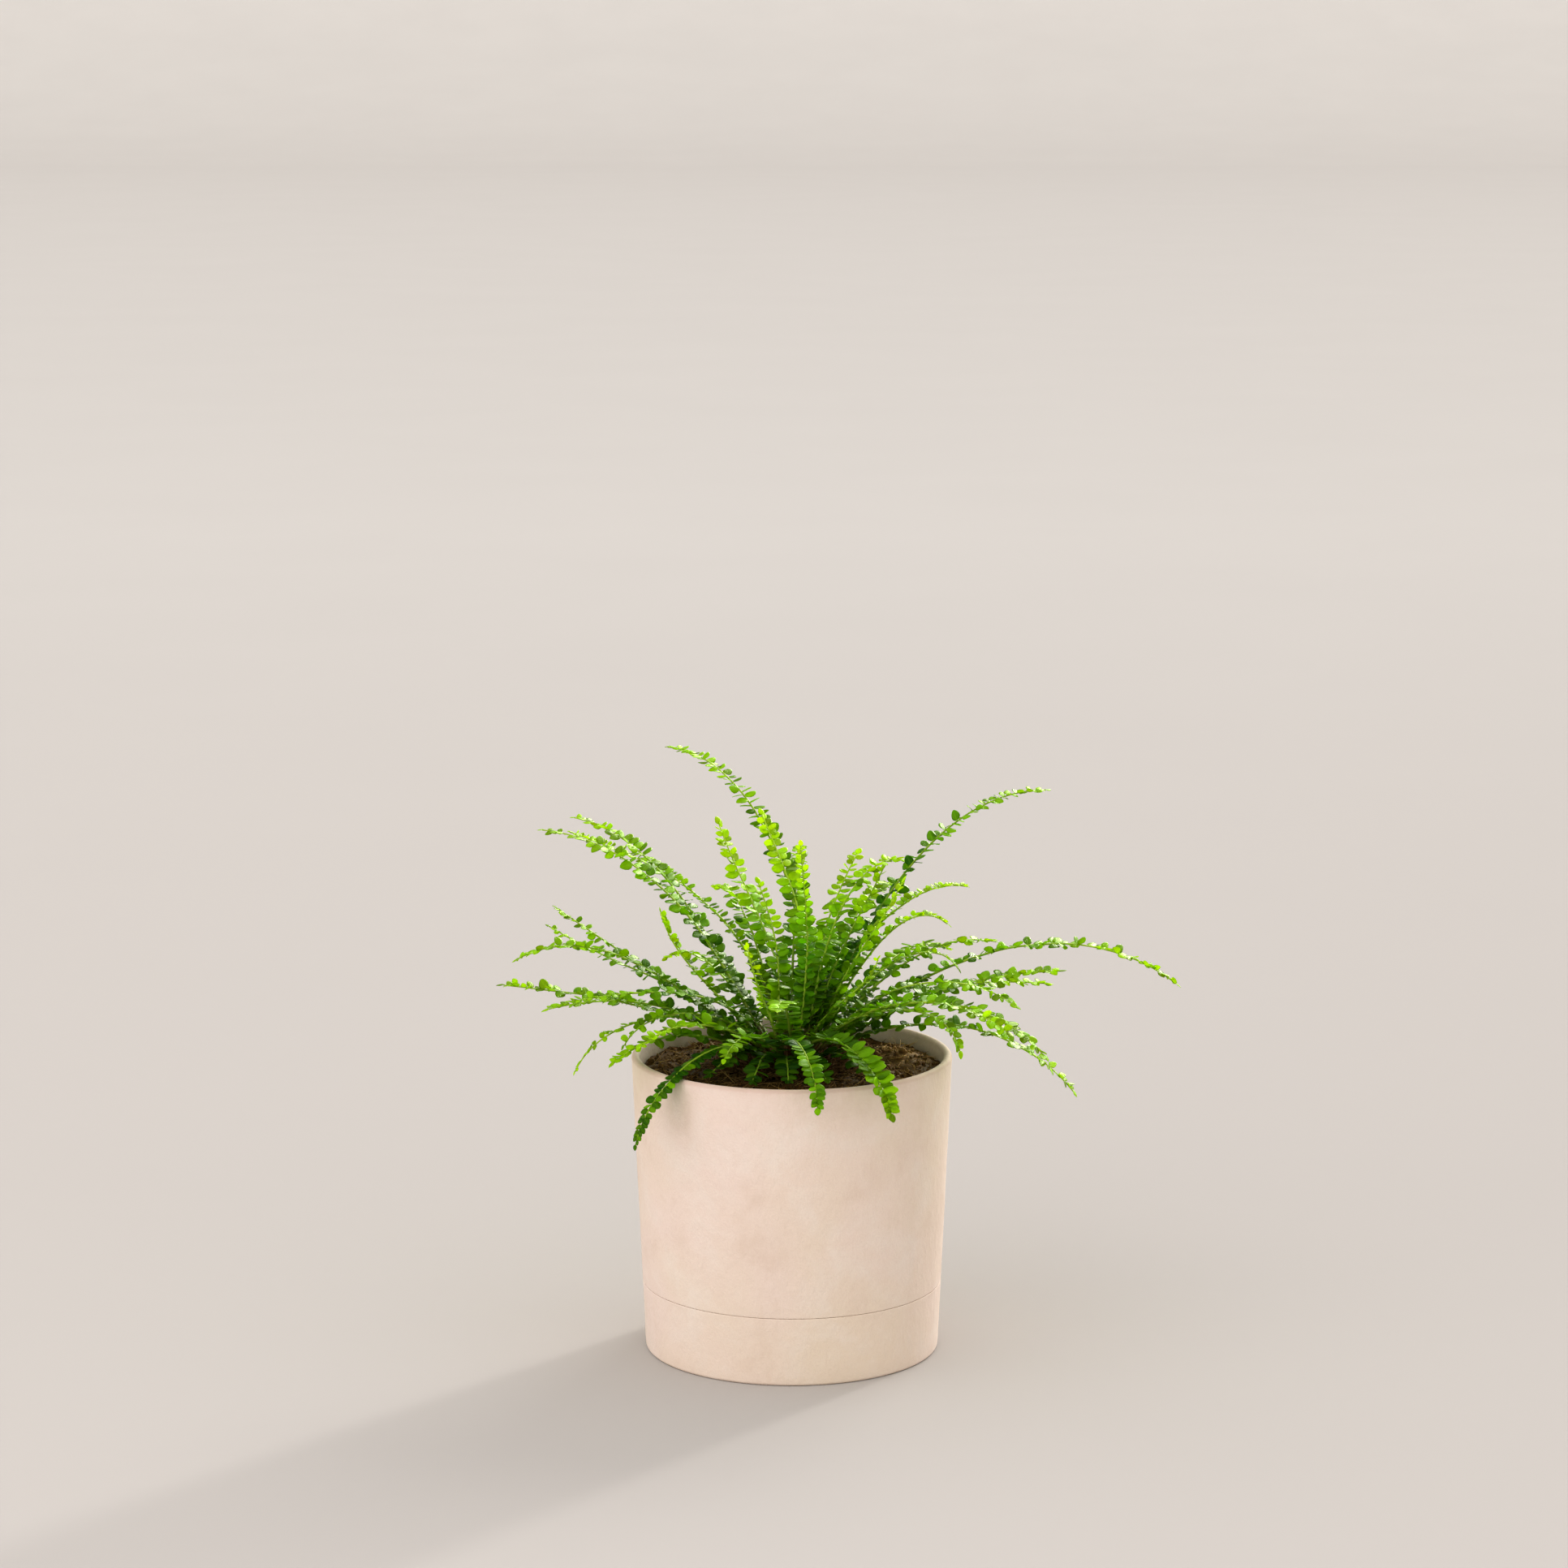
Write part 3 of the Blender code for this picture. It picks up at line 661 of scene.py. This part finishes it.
def make_frond(node, leaf, stalk, seed):
    """A frond in place of its CAD blade: a tapering stalk and two alternate rows of leaflets, in one mesh."""
    rng = np.random.default_rng(seed)
    centres, halves, ups = blade_stations(node)
    habit = frond_habit(node, centres, rng)
    marks = np.concatenate([[0], np.cumsum(np.linalg.norm(np.diff(centres, axis=0), axis=1))])
    length = marks[-1]
    marks /= length
    widest = halves.max()

    def read(at):
        """Place, direction, up and across of the frond's midline at shares of its length."""
        place = curve_through(marks, centres, at)
        ahead = curve_through(marks, centres, np.minimum(at + 0.01, 1))
        along = unit(ahead - curve_through(marks, centres, np.maximum(at - 0.01, 0)))
        up = curve_through(marks, ups, at)
        up = unit(up - along * (up * along).sum(-1, keepdims=True))
        return place, along, up, np.cross(up, along)

    # The stalk.
    rings = max(16, int(length / STALK_STEP))
    at = np.linspace(0, 1, rings)
    place, along, up, across = read(at)
    sideways, upwards = (
        lattice_noise(np.stack([at * length * 60, at * 0 + seed, at * 0 + k], -1), seed)[:, None]
        for k in (0, 1)
    )
    free = np.sin(math.pi * at)[:, None]
    place = place + (across * sideways + up * upwards) * STALK_WANDER * free
    radius = (0.72 - 0.44 * at) * MM * (0.85 + 0.03 * widest / MM)
    points = [carried_tube(place, radius, STALK_AROUND, across, up)]
    stalk_quads, stalk_tris = tube_faces(rings, STALK_AROUND)
    stalk_share = np.concatenate([[0], np.repeat(at, STALK_AROUND), [1]])

    # The leaflets.
    share, side = leaflet_places(length, habit, rng)
    count = len(share)
    base, along, up, across = read(share)
    size = leaf_size(share, habit) * habit["plump"] * rng.uniform(0.86, 1.14, count)
    end = side == 0
    loose = np.radians(habit["loose"])
    forward = np.radians(12 + 26 * smooth_step(0.70, 1.0, share)) + rng.normal(0, 0.35, count) * loose
    out = across * (side * np.cos(forward))[:, None] + along * np.sin(forward)[:, None]
    out[end] = along[end]
    lift = math.radians(habit["lift"]) + rng.normal(0, 0.7, count) * loose
    out = unit(turn_about(out, along, lift * side))
    normal = turn_about(up, along, lift * side)
    steep = np.clip(along[:, 2], 0, 1)
    shelve = math.radians(habit["shelve"]) * steep + rng.normal(0, 1.0, count) * loose
    shelve = np.where(rng.uniform(0, 1, count) < 0.12, rng.uniform(-0.6, 0.6, count), shelve)
    normal = normal * np.cos(shelve)[:, None] + along * np.sin(shelve)[:, None]
    normal = unit(normal - out * (normal * out).sum(-1, keepdims=True))
    leaf_length = widest * size * LEAF_REACH
    leaf_width = widest * size * rng.uniform(0.31, 0.41, count)
    leaf_length[end] = widest * size[end] * END_LEAF_REACH
    leaf_width[end] = widest * size[end] * END_LEAF_HALF
    tipward = np.sign((np.cross(normal, out) * along).sum(-1))
    shape = leaflets(
        base + out * 0.15 * MM + up * 0.25 * MM,
        out,
        normal,
        leaf_length,
        leaf_width,
        -tipward,
        rng.uniform(0.05, 0.45, count),
        rng.uniform(0.0, 0.30, count),
        rng.uniform(-0.05, 0.25, count),
    )
    each = shape.shape[1]
    points.append(shape.reshape(-1, 3))
    leaf_quads, leaf_tris = tube_faces(len(LEAF_RINGS), LEAF_AROUND)
    start = len(points[0])
    quads = np.concatenate([stalk_quads, repeat_faces(leaf_quads, count, each) + start])
    tris = np.concatenate([stalk_tris, repeat_faces(leaf_tris, count, each) + start])
    runs = (len(stalk_quads), len(leaf_quads) * count, len(stalk_tris), len(leaf_tris) * count)
    picks = np.repeat([1, 0, 1, 0], runs)
    age = habit["age"] + habit["tip_age"] * smooth_step(0.40, 1.0, share) + rng.normal(0, 0.08, count)
    stalk_age = np.clip(habit["age"] + 0.4 * stalk_share, 0, 1)
    # inner: painted shade, strongest on the leaflets nearest the crown and never less than the habit's deep.
    inner = (1 - smooth_step(0.12, 0.62, share)) * rng.uniform(0.5, 1.0, count)
    inner = np.maximum(inner, habit["deep"])
    values = {
        "inner": np.concatenate([stalk_share * 0, np.repeat(inner, each)]),
        "age": np.concatenate([stalk_age, np.repeat(age.clip(0, 1), each)]),
        "shade": np.concatenate([stalk_share * 0 + 0.5, np.repeat(rng.uniform(0, 1, count), each)]),
        "under": np.concatenate([stalk_share * 0, np.tile(leaflet_under(), count)]),
        "low": np.concatenate([1 - smooth_step(0.02, 0.22, stalk_share), np.zeros(count * each)]),
    }
    uv = np.concatenate([np.zeros((start, 2)), np.tile(leaflet_map(), (count, 1))])
    made = lay_piece(node + "_leaves", np.concatenate(points), quads, tris, [leaf, stalk], picks, uv, values)
    settle(made, node)


# ---------------------------------------------------------------- pot, saucer, soil and crown


def arc(centre_r, centre_z, radius, start, end, steps):
    """Points of a round stretch of a profile, in degrees from outward towards up."""
    turn = np.radians(np.linspace(start, end, steps + 1))
    return np.stack([centre_r + radius * np.cos(turn), centre_z + radius * np.sin(turn)], -1)


def run(*ends, step=2.5 * MM):
    """Points of straight stretches of a profile, evenly spaced, without the last one."""
    found = []
    for a, b in zip(ends, ends[1:]):
        count = max(1, int(np.linalg.norm(np.subtract(b, a)) / step))
        found.append(np.linspace(a, b, count, endpoint=False))
    return np.concatenate(found)


def turned_points(profile, sides):
    """Points of a profile turned about the upright axis: rows are profile points, columns are turns."""
    angle = round_angles(sides)
    ring = np.stack([np.cos(angle), np.sin(angle)], -1)
    flat = profile[:, None, :1] * ring[None]
    return np.concatenate([flat, np.broadcast_to(profile[:, None, 1:], (*flat.shape[:2], 1))], -1)


def hand_finish(grid, profile, depth, seed):
    """Moves a turned surface along its radius by gentle noise, as a hand-rubbed clay wall waves."""
    wave = layered_noise(grid / (18 * MM), seed, 3) * depth
    ring = unit(grid * [1, 1, 0] + [1e-9, 0, 0])
    return grid + ring * (wave * smooth_step(5 * MM, 20 * MM, profile[:, None, 0]))[..., None]


def make_pot(clay):
    """The pot, turned from a closed profile: outer wall, round lip, inner wall, floor with its drain hole,
    and underneath the foot ring, whose notches lift its lower edge by a smooth step of the angle."""
    low, high = (np.array(corner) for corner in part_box("pot"))
    saucer_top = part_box("saucer")[1][2]
    saucer_r, rim_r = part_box("saucer")[1][0], high[0]
    top = high[2]
    slope = (rim_r - saucer_r) / (top - saucer_top)
    seam = saucer_top + 0.15 * MM

    def outer(z):
        return saucer_r + (z - saucer_top) * slope

    wall, lip = 4.2 * MM, 2.1 * MM
    nest_top, nest_low = saucer_r - 3.4 * MM, saucer_r - 4.57 * MM
    floor_top, floor_low, foot = low[2] + 9.7 * MM, low[2] + 5.7 * MM, low[2]
    ledge = seam + 6 * MM
    profile = np.concatenate(
        [
            arc(rim_r - lip, top - lip, lip, 0, 180, 14),
            run((outer(top - 4 * MM) - wall, top - 4 * MM), (outer(ledge) - wall, ledge)),
            run(
                (outer(ledge) - wall, ledge),
                (nest_top - 3 * MM, seam),
                (nest_low - 3 * MM, floor_top + 5 * MM),
            ),
            arc(nest_low - 8 * MM, floor_top + 5 * MM, 5 * MM, 0, -90, 6),
            run((nest_low - 12 * MM, floor_top), (8.4 * MM, floor_top), step=6 * MM),
            [(8.4 * MM, floor_top), (8.0 * MM, floor_top - 0.4 * MM), (8.0 * MM, floor_low + 0.4 * MM)],
            run((8.4 * MM, floor_low), (58 * MM, floor_low), step=6 * MM),
            [(58.0 * MM, floor_low), (58.5 * MM, foot + 0.5 * MM), (59.0 * MM, foot)],
            [(63.5 * MM, foot), (64.0 * MM, foot + 0.5 * MM), (64.5 * MM, floor_low)],
            [(nest_low - 2 * MM, floor_low), (nest_low, floor_low + 2 * MM)],
            run((nest_low, floor_low + 2.5 * MM), (nest_top, seam)),
            [(nest_top, seam), (outer(seam) - 0.5 * MM, seam)],
            arc(outer(seam) - BEAD, seam + BEAD, BEAD, -80, 0, 4),
            run((outer(seam + 1 * MM), seam + 1 * MM), (outer(top - 2.4 * MM), top - 2.4 * MM)),
        ]
    )
    sides = TURNED_SIDES
    grid = turned_points(profile, sides)
    r, z = profile[:, None, 0], profile[:, None, 1]
    angle = round_angles(sides)[None]
    off_notch = np.abs((angle + math.pi / 6) % (math.pi / 3) - math.pi / 6) * 61 * MM
    in_notch = 1 - smooth_step(5 * MM, 6.5 * MM, off_notch)
    ring_foot = (z < foot + 0.6 * MM) & (r < 66 * MM)
    grid[..., 2] += np.where(ring_foot, (floor_low - 1 * MM - foot) * in_notch, 0)
    showing = (z > seam + 1.5 * MM) & (z < top - 0.5 * MM)
    grid = np.where(showing[..., None], hand_finish(grid, profile, HAND_WAVE, POT_SEED), grid)
    quads = grid_quads(len(profile), sides, close_rows=True)
    soil_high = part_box("soil")[1][2]
    inside = (r < outer(z) - 2 * MM) & (z > ledge)
    fade = 0.8 - 0.8 * smooth_step(soil_high - 4 * MM, soil_high - 0.5 * MM, z)
    soiled = np.where(inside, fade, 0) + 0 * angle
    # rim: the band along the top of the lip that takes painted shade.
    rim = smooth_step(top - 2.6 * MM, top - 0.8 * MM, z) + 0 * angle
    values = {"rim": rim.ravel(), "soiled": soiled.ravel()}
    made = lay_piece("clay_pot", grid.reshape(-1, 3), quads, np.zeros((0, 3), int), [clay], values=values)
    settle(made, "pot")


def make_saucer(clay):
    """The saucer, turned from a profile that starts and ends on the axis: floor, inner wall, thin lip,
    outer wall with the pot's own taper, rounded foot and flat underside."""
    lip_r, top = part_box("saucer")[1][0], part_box("saucer")[1][2]
    rim_r, rim_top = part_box("pot")[1][0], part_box("pot")[1][2]
    slope = (rim_r - lip_r) / (rim_top - top)
    foot_r = lip_r - slope * top
    floor, wall, corner, foot = 4.0 * MM, 3.0 * MM, 4.0 * MM, 1.5 * MM
    inner_foot = foot_r + slope * floor - wall
    profile = np.concatenate(
        [
            run((3 * MM, floor), (inner_foot - corner, floor), step=6 * MM),
            arc(inner_foot - corner, floor + corner, corner, -90, 0, 6),
            run((inner_foot, floor + corner + 2 * MM), (lip_r - wall, top - 0.7 * MM)),
            [(lip_r - wall, top - 0.6 * MM), (lip_r - wall + 0.6 * MM, top)],
            arc(lip_r - BEAD, top - BEAD, BEAD, 90, 0, 4),
            run((lip_r - slope * 1 * MM, top - 1 * MM), (foot_r + slope * 2 * MM, 2 * MM)),
            arc(foot_r - foot, foot, foot, 0, -90, 6),
            run((foot_r - foot - 2 * MM, 0), (3 * MM, 0), step=6 * MM),
        ]
    )
    sides = TURNED_SIDES
    grid = turned_points(profile, sides)
    r, z = profile[:, None, 0], profile[:, None, 1]
    showing = (z > 2 * MM) & (z < top - 1.2 * MM) & (r > inner_foot + 1.5 * MM)
    grid = np.where(showing[..., None], hand_finish(grid, profile, HAND_WAVE, POT_SEED), grid)
    points = np.concatenate([[[0, 0, floor]], grid.reshape(-1, 3), [[0, 0, 0]]])
    quads, tris = tube_faces(len(profile), sides)
    still = np.zeros(len(points))
    wet = 0.35 * ((z > 1 * MM) & (z < 12 * MM) & (r < inner_foot + 1 * MM)) + 0 * grid[..., 0]
    damp = np.concatenate([[0.5], wet.ravel(), [0]])
    made = lay_piece("clay_saucer", points, quads, tris, [clay], values={"rim": still, "soiled": damp})
    settle(made, "saucer")


def scattered_blobs(centres, sizes, rng, rings=4, around=7):
    """Small lumps: closed spheres of revolution, each point pushed in or out by its own share and the whole
    squashed along a random direction."""
    polar = np.linspace(0, math.pi, rings + 2)[1:-1]
    angle = round_angles(around)
    ring = np.stack(
        [
            np.sin(polar)[:, None] * np.cos(angle)[None],
            np.sin(polar)[:, None] * np.sin(angle)[None],
            np.cos(polar)[:, None] + 0 * angle[None],
        ],
        -1,
    ).reshape(-1, 3)
    ball = np.concatenate([[[0, 0, 1]], ring, [[0, 0, -1]]])
    rough = rng.uniform(0.65, 1.15, (len(centres), len(ball), 1))
    lump = ball[None] * rough
    axis = unit(rng.normal(size=(len(centres), 1, 3)))
    flat = rng.uniform(0.25, 0.7, (len(centres), 1, 1))
    lump = lump - axis * ((lump * axis).sum(-1, keepdims=True) * flat)
    return centres[:, None] + lump * sizes[:, None, None], tube_faces(rings, around)


def scattered_strands(starts, directions, lengths, radii, bends, rings=5, around=5):
    """Fibres: closed tubes along short curves that leave in a direction and bend by a vector times the
    square of the share travelled; the radius swells by sin of the share."""
    u = np.linspace(0, 1, rings)[None, :, None]
    path = starts[:, None] + directions[:, None] * lengths[:, None, None] * u
    path = path + bends[:, None] * lengths[:, None, None] * u * u
    across = unit(np.cross(directions, [0.31, 0.22, 0.93]))
    above = np.cross(directions, across)
    swell = radii[:, None] * (0.35 + 0.65 * np.sin(math.pi * (0.1 + 0.8 * u[..., 0])))
    wide = np.broadcast_to(across[:, None], path.shape)
    tall = np.broadcast_to(above[:, None], path.shape)
    return carried_tube(path, swell, around, wide, tall), tube_faces(rings, around)


def gather(parts):
    """Joins stretches of (points, (quads, tris), values) into single arrays, renumbering the faces."""
    points, quads, tris, values, start = [], [], [], [], 0
    for shape, (q, t), value in parts:
        flat = shape.reshape(-1, 3)
        each = shape.shape[-2]
        count = len(flat) // each
        points.append(flat)
        quads.append(repeat_faces(q, count, each) + start)
        tris.append(repeat_faces(t, count, each) + start)
        values.append(np.broadcast_to(np.asarray(value, float).reshape(-1, 1), (count, each)).ravel())
        start += len(flat)
    return np.concatenate(points), np.concatenate(quads), np.concatenate(tris), np.concatenate(values)


def soil_mound(x, y):
    """Share of the mound at a place on the soil: e^-d^2 of the distance from its middle over its size. It
    raises the soil there and paints it paler straw, partly as dry coir and partly as painted sunlight.
    """
    return np.exp(-(((x - 50 * MM) / (15 * MM)) ** 2) - ((y - 12 * MM) / (20 * MM)) ** 2)


def soil_top(x, y, edge_z, middle_z, edge_r):
    """Height of the soil: a low dome from edge to middle, with clods from layered noise, deeper cracks where
    the noise folds, and a fall of a few millimetres towards the wall."""
    out = np.hypot(x, y) / edge_r
    place = np.stack([x, y, 0 * x], -1)
    clods = layered_noise(place / (9 * MM), SOIL_SEED, 4)
    folds = 1 - np.abs(layered_noise(place / (15 * MM), SOIL_SEED + 40, 3))
    height = edge_z + (middle_z - edge_z) * (1 - out**2) + 4.0 * MM * soil_mound(x, y)
    return height + (1.2 * clods - 1.3 * folds**4 + 0.2) * MM


def make_soil(finish):
    """The soil in the pot: a disc of clods over a plug that follows the pot's inside, strewn with crumbs
    and coir fibres."""
    rng = np.random.default_rng(SOIL_SEED)
    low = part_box("soil")[0]
    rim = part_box("pot")[1]
    edge_z, middle_z = rim[2] - 8.0 * MM, rim[2] - 5.5 * MM
    edge_r = rim[0] - 4.9 * MM
    sides = 240
    radii = np.concatenate([np.linspace(2 * MM, edge_r, 90), [edge_r]])
    depth = [
        (edge_r - 1.2 * MM, edge_z - 20 * MM),
        (edge_r - 3.9 * MM, 42 * MM),
        (edge_r - 8.5 * MM, 33.5 * MM),
        (edge_r - 9.5 * MM, low[2] + 6 * MM),
        (edge_r - 14 * MM, low[2]),
    ]
    profile = np.concatenate([np.stack([radii, 0 * radii + edge_z], -1), depth])
    grid = turned_points(profile, sides)
    top = len(radii) - 1
    grid[:top, :, 2] = soil_top(grid[:top, :, 0], grid[:top, :, 1], edge_z, middle_z, edge_r)
    grid[top, :, 2] = grid[top - 1, :, 2] - 1.5 * MM
    plug = np.concatenate([[[0, 0, middle_z]], grid.reshape(-1, 3), [[0, 0, low[2]]]])

    def strewn(count, inner, outer):
        angle = rng.uniform(0, math.tau, count)
        r = np.sqrt(rng.uniform(inner**2, outer**2, count))
        x, y = r * np.cos(angle), r * np.sin(angle)
        return np.stack([x, y, soil_top(x, y, edge_z, middle_z, edge_r)], -1)

    count = 1500
    crumbs_at = strewn(count, 20 * MM, edge_r - 2 * MM)
    crumb_size = rng.gamma(3.0, 0.30, count).clip(0.3, 2.4) * MM
    crumbs, crumb_faces = scattered_blobs(crumbs_at + UP * (crumb_size * 0.15)[:, None], crumb_size, rng)
    count = 1300
    fibres_at = strewn(count, 18 * MM, edge_r - 4 * MM) + UP * 0.5 * MM
    heading = rng.uniform(0, math.tau, count)
    tilt = rng.normal(0.05, 0.28, count)
    ways = np.stack([np.cos(heading) * np.cos(tilt), np.sin(heading) * np.cos(tilt), np.sin(tilt)], -1)
    spans = rng.gamma(3.0, 2.0, count).clip(2, 14) * MM
    bends = rng.normal(0, 0.25, (count, 3)) * [1, 1, 0.5] - UP * 0.06
    thick = rng.uniform(0.09, 0.24, count) * MM
    fibres, fibre_faces = scattered_strands(fibres_at, ways, spans, thick, bends)
    inside = np.linalg.norm(fibres[..., :2], axis=-1).max(1) < edge_r - 0.3 * MM
    parts = [
        (plug[None], tube_faces(len(profile), sides), 0.0),
        (crumbs, crumb_faces, rng.uniform(0, 0.45, len(crumbs)) ** 1.5),
        (fibres[inside], fibre_faces, rng.uniform(0.25, 1.0, inside.sum())),
    ]
    points, quads, tris, dry = gather(parts)
    clumps = 0.5 + 0.5 * layered_noise(points / (6 * MM), SOIL_SEED + 9, 3)
    # Painted sunlight in part: the mound's clumps take the dry straw colour, on top of their own dry coir.
    dry = np.clip(dry + 0.75 * clumps * soil_mound(points[:, 0], points[:, 1]), 0, 1)
    made = lay_piece("fibrous_soil", points, quads, tris, [finish], values={"dry": dry})
    settle(made, "soil")


def make_crown(finish):
    """The crown: a lumpy dome with old stalk stubs and a coat of pointed papery scales."""
    rng = np.random.default_rng(CROWN_SEED)
    low, high = (np.array(corner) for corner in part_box("crown"))
    radius, height = high[0], high[2] - low[2]
    sides = 90
    polar = np.linspace(0.03, math.pi / 2, 30)
    share = np.concatenate([np.sin(polar), [0.97, 0.6, 0.2]])
    z = np.concatenate([np.cos(polar) ** 1.25 * height, np.full(3, -0.3 * MM)])
    grid = turned_points(np.stack([share * radius, low[2] + z], -1), sides)
    ripple = layered_noise(grid / (5 * MM), CROWN_SEED, 3)
    upper = (z > 0.05 * MM)[:, None]
    grid[..., 2] += np.where(upper, ripple * 0.9 * MM - 0.8 * MM, 0)
    grid[..., 2] = np.maximum(grid[..., 2], low[2] - 0.3 * MM)
    dome = np.concatenate([[[0, 0, high[2] - 1 * MM]], grid.reshape(-1, 3), [[0, 0, low[2] - 0.3 * MM]]])

    def on_dome(count, most):
        angle = rng.uniform(0, math.tau, count)
        r = radius * np.sqrt(rng.uniform(0, most**2, count))
        z = low[2] + height * np.maximum(1 - (r / radius) ** 2, 0) ** 0.62 - 1.2 * MM
        return np.stack([r * np.cos(angle), r * np.sin(angle), z], -1)

    count = 1400
    at = on_dome(count, 1.08)
    outward = at * [1, 1, 0] / radius
    ways = outward * 0.9 + UP * rng.uniform(0.25, 1.1, count)[:, None]
    ways = unit(ways + rng.normal(0, 0.3, (count, 3)))
    bends = outward * 0.3 + rng.normal(0, 0.2, (count, 3))
    spans = rng.uniform(2.0, 5.0, count) * MM
    thick = rng.uniform(0.25, 0.5, count) * MM
    scales, scale_faces = scattered_strands(at, ways, spans, thick, bends)
    stub_count = 46
    at = on_dome(stub_count, 0.85)
    ways = unit(at * [1, 1, 0] / radius + UP * rng.uniform(0.6, 1.6, stub_count)[:, None])
    spans = rng.uniform(4, 9, stub_count) * MM
    thick = rng.uniform(0.8, 1.2, stub_count) * MM
    stubs, stub_faces = scattered_strands(at, ways, spans, thick, ways * 0, rings=6, around=8)
    parts = [
        (dome[None], tube_faces(len(share), sides), 0.1),
        (scales, scale_faces, rng.uniform(0.1, 1.0, count)),
        (stubs, stub_faces, rng.uniform(0.0, 0.5, stub_count)),
    ]
    points, quads, tris, dry = gather(parts)
    points[:, 2] = np.minimum(points[:, 2], high[2] + 6 * MM)
    made = lay_piece("scaly_crown", points, quads, tris, [finish], values={"dry": dry})
    settle(made, "crown")


# ---------------------------------------------------------------- studio


def make_sweep():
    """Pale paper that runs level and then bends up into the wall behind; it grows paler with distance and
    with height. It casts no shadow, so that low lamps come past it."""
    paper = Finish("studio_paper")
    fibre = paper.noise(3.0, 3, 0.5)
    place = paper.node("ShaderNodeSeparateXYZ")
    paper.join(paper.places(), place.inputs[0])
    # Painted light: the wall, which the suns don't reach, is painted paler with height so that it is as
    # bright as the floor.
    height = paper.maths("POWER", paper.spread(place.outputs[2], 0.0, 1.2), 0.58)
    colour = paper.coats(
        paper.blend(paper.spread(place.outputs[1], 0.3, 3.4), PAPER_NEAR, PAPER_MIDDLE),
        (height, PAPER_FAR),
        (paper.spread(fibre, 0.3, 0.7, 0, 0.06), PAPER_SHADE),
    )
    paper.set(Base_Color=colour, Roughness=1.0, Specular_IOR_Level=0.0)
    turn = np.linspace(0, math.pi / 2, 33)
    level = np.linspace(SWEEP_FRONT, SWEEP_BACK - SWEEP_BEND, 40)[:-1]
    y = np.concatenate([level, SWEEP_BACK - SWEEP_BEND + SWEEP_BEND * np.sin(turn), [SWEEP_BACK]])
    z = np.concatenate([0 * level, SWEEP_BEND - SWEEP_BEND * np.cos(turn), [SWEEP_TALL]])
    x = np.linspace(-SWEEP_HALF, SWEEP_HALF, 21)
    flat = np.zeros((len(y), len(x)))
    grid = np.stack([flat + x, flat + y[:, None], flat + z[:, None]], -1)
    quads = grid_quads(len(y), len(x), close_columns=False)[:, ::-1]
    sweep = lay_piece("studio_sweep", grid.reshape(-1, 3), quads, np.zeros((0, 3), int), [paper.material])
    sweep.visible_shadow = False


def add_lamp(name, kind, place, aim, energy, colour, **settings):
    """A lamp at a place, turned to shine at its aim."""
    data = bpy.data.lights.new(name, kind)
    data.energy = energy
    data.color = colour
    for key, value in settings.items():
        setattr(data, key, value)
    made = put(name, data)
    made.location = place
    made.rotation_euler = (Vector(aim) - Vector(place)).to_track_quat("-Z", "Y").to_euler()
    return made


def add_sun(name, energy, heading, height, width, colour):
    """A sun towards (cos heading, sin heading, tan height)."""
    turn = math.radians(heading)
    towards = np.array([math.cos(turn), math.sin(turn), math.tan(math.radians(height))])
    return add_lamp(name, "SUN", towards * 3, (0, 0, 0), energy, colour, angle=math.radians(width))


def make_lamps():
    """A low sun and a wide window from behind right, a large fill in front, a lamp that only adds gloss,
    and pale air all round. Gives back the two lamps that are meant for the fronds alone."""
    add_sun("low_sun", 0.8, **LOW_SUN)
    frond_sun = add_sun("frond_sun", 1.1, **LOW_SUN)
    add_lamp("front_fill", "AREA", (-2.0, -2.2, 1.6), (0, 0, 0.1), 33, (1.0, 0.98, 0.96), size=4.5)
    add_sun("soft_window", 0.5, **WINDOW)
    frond_window = add_sun("frond_window", 0.5, **WINDOW)
    gleam = add_sun("leaf_gleam", 5.0, **GLEAM)
    gleam.visible_diffuse = gleam.visible_transmission = False
    world = bpy.data.worlds.new("studio_air")
    world.use_nodes = True
    air = world.node_tree.nodes["Background"]
    air.inputs[0].default_value, air.inputs[1].default_value = AIR_COLOUR, AIR_STRENGTH
    bpy.context.scene.world = world
    return frond_sun, frond_window


def light_only(lamps, names):
    """Lets these lamps reach the named pieces only, so that they don't burn out the pale pot."""
    lit = bpy.data.collections.new("lit_by_frond_lamps")
    for name in names:
        lit.objects.link(bpy.data.objects[name])
    for lamp in lamps:
        lamp.light_linking.receiver_collection = lit


def make_camera():
    """The camera, turned down from level by its tilt."""
    data = bpy.data.cameras.new("main_camera")
    data.lens, data.sensor_width = LENS, SENSOR
    made = put("main_camera", data)
    made.location = CAMERA_PLACE
    made.rotation_euler = (math.radians(90 - CAMERA_TILT), 0, 0)
    bpy.context.scene.camera = made


def main():
    """Makes the studio, the object's pieces and the film's tones."""
    make_camera()
    make_sweep()
    frond_lamps = make_lamps()
    clay = clay_finish()
    make_pot(clay)
    make_saucer(clay)
    make_soil(soil_finish())
    make_crown(crown_finish())
    stalk = stalk_finish()
    leaves = {
        "old_frond": leaf_finish("old_leaf", OLD_LEAF, OLD_TIP),
        "young_frond": leaf_finish("young_leaf", YOUNG_LEAF, YOUNG_TIP),
    }
    slots = {part["node"]: part["material_slot"] for part in frame["record"]["subparts"]}
    fronds = sorted(name for name in frame["nodes"] if name.startswith("frond_"))
    for number, node in enumerate(fronds):
        make_frond(node, leaves[slots[node]], stalk, FROND_SEED + number)
    light_only(frond_lamps, ["fibrous_soil"] + [node + "_leaves" for node in fronds])
    film = bpy.context.scene.view_settings
    film.view_transform = "Standard"
    film.exposure, film.gamma = FILM_EXPOSURE, FILM_GAMMA


main()
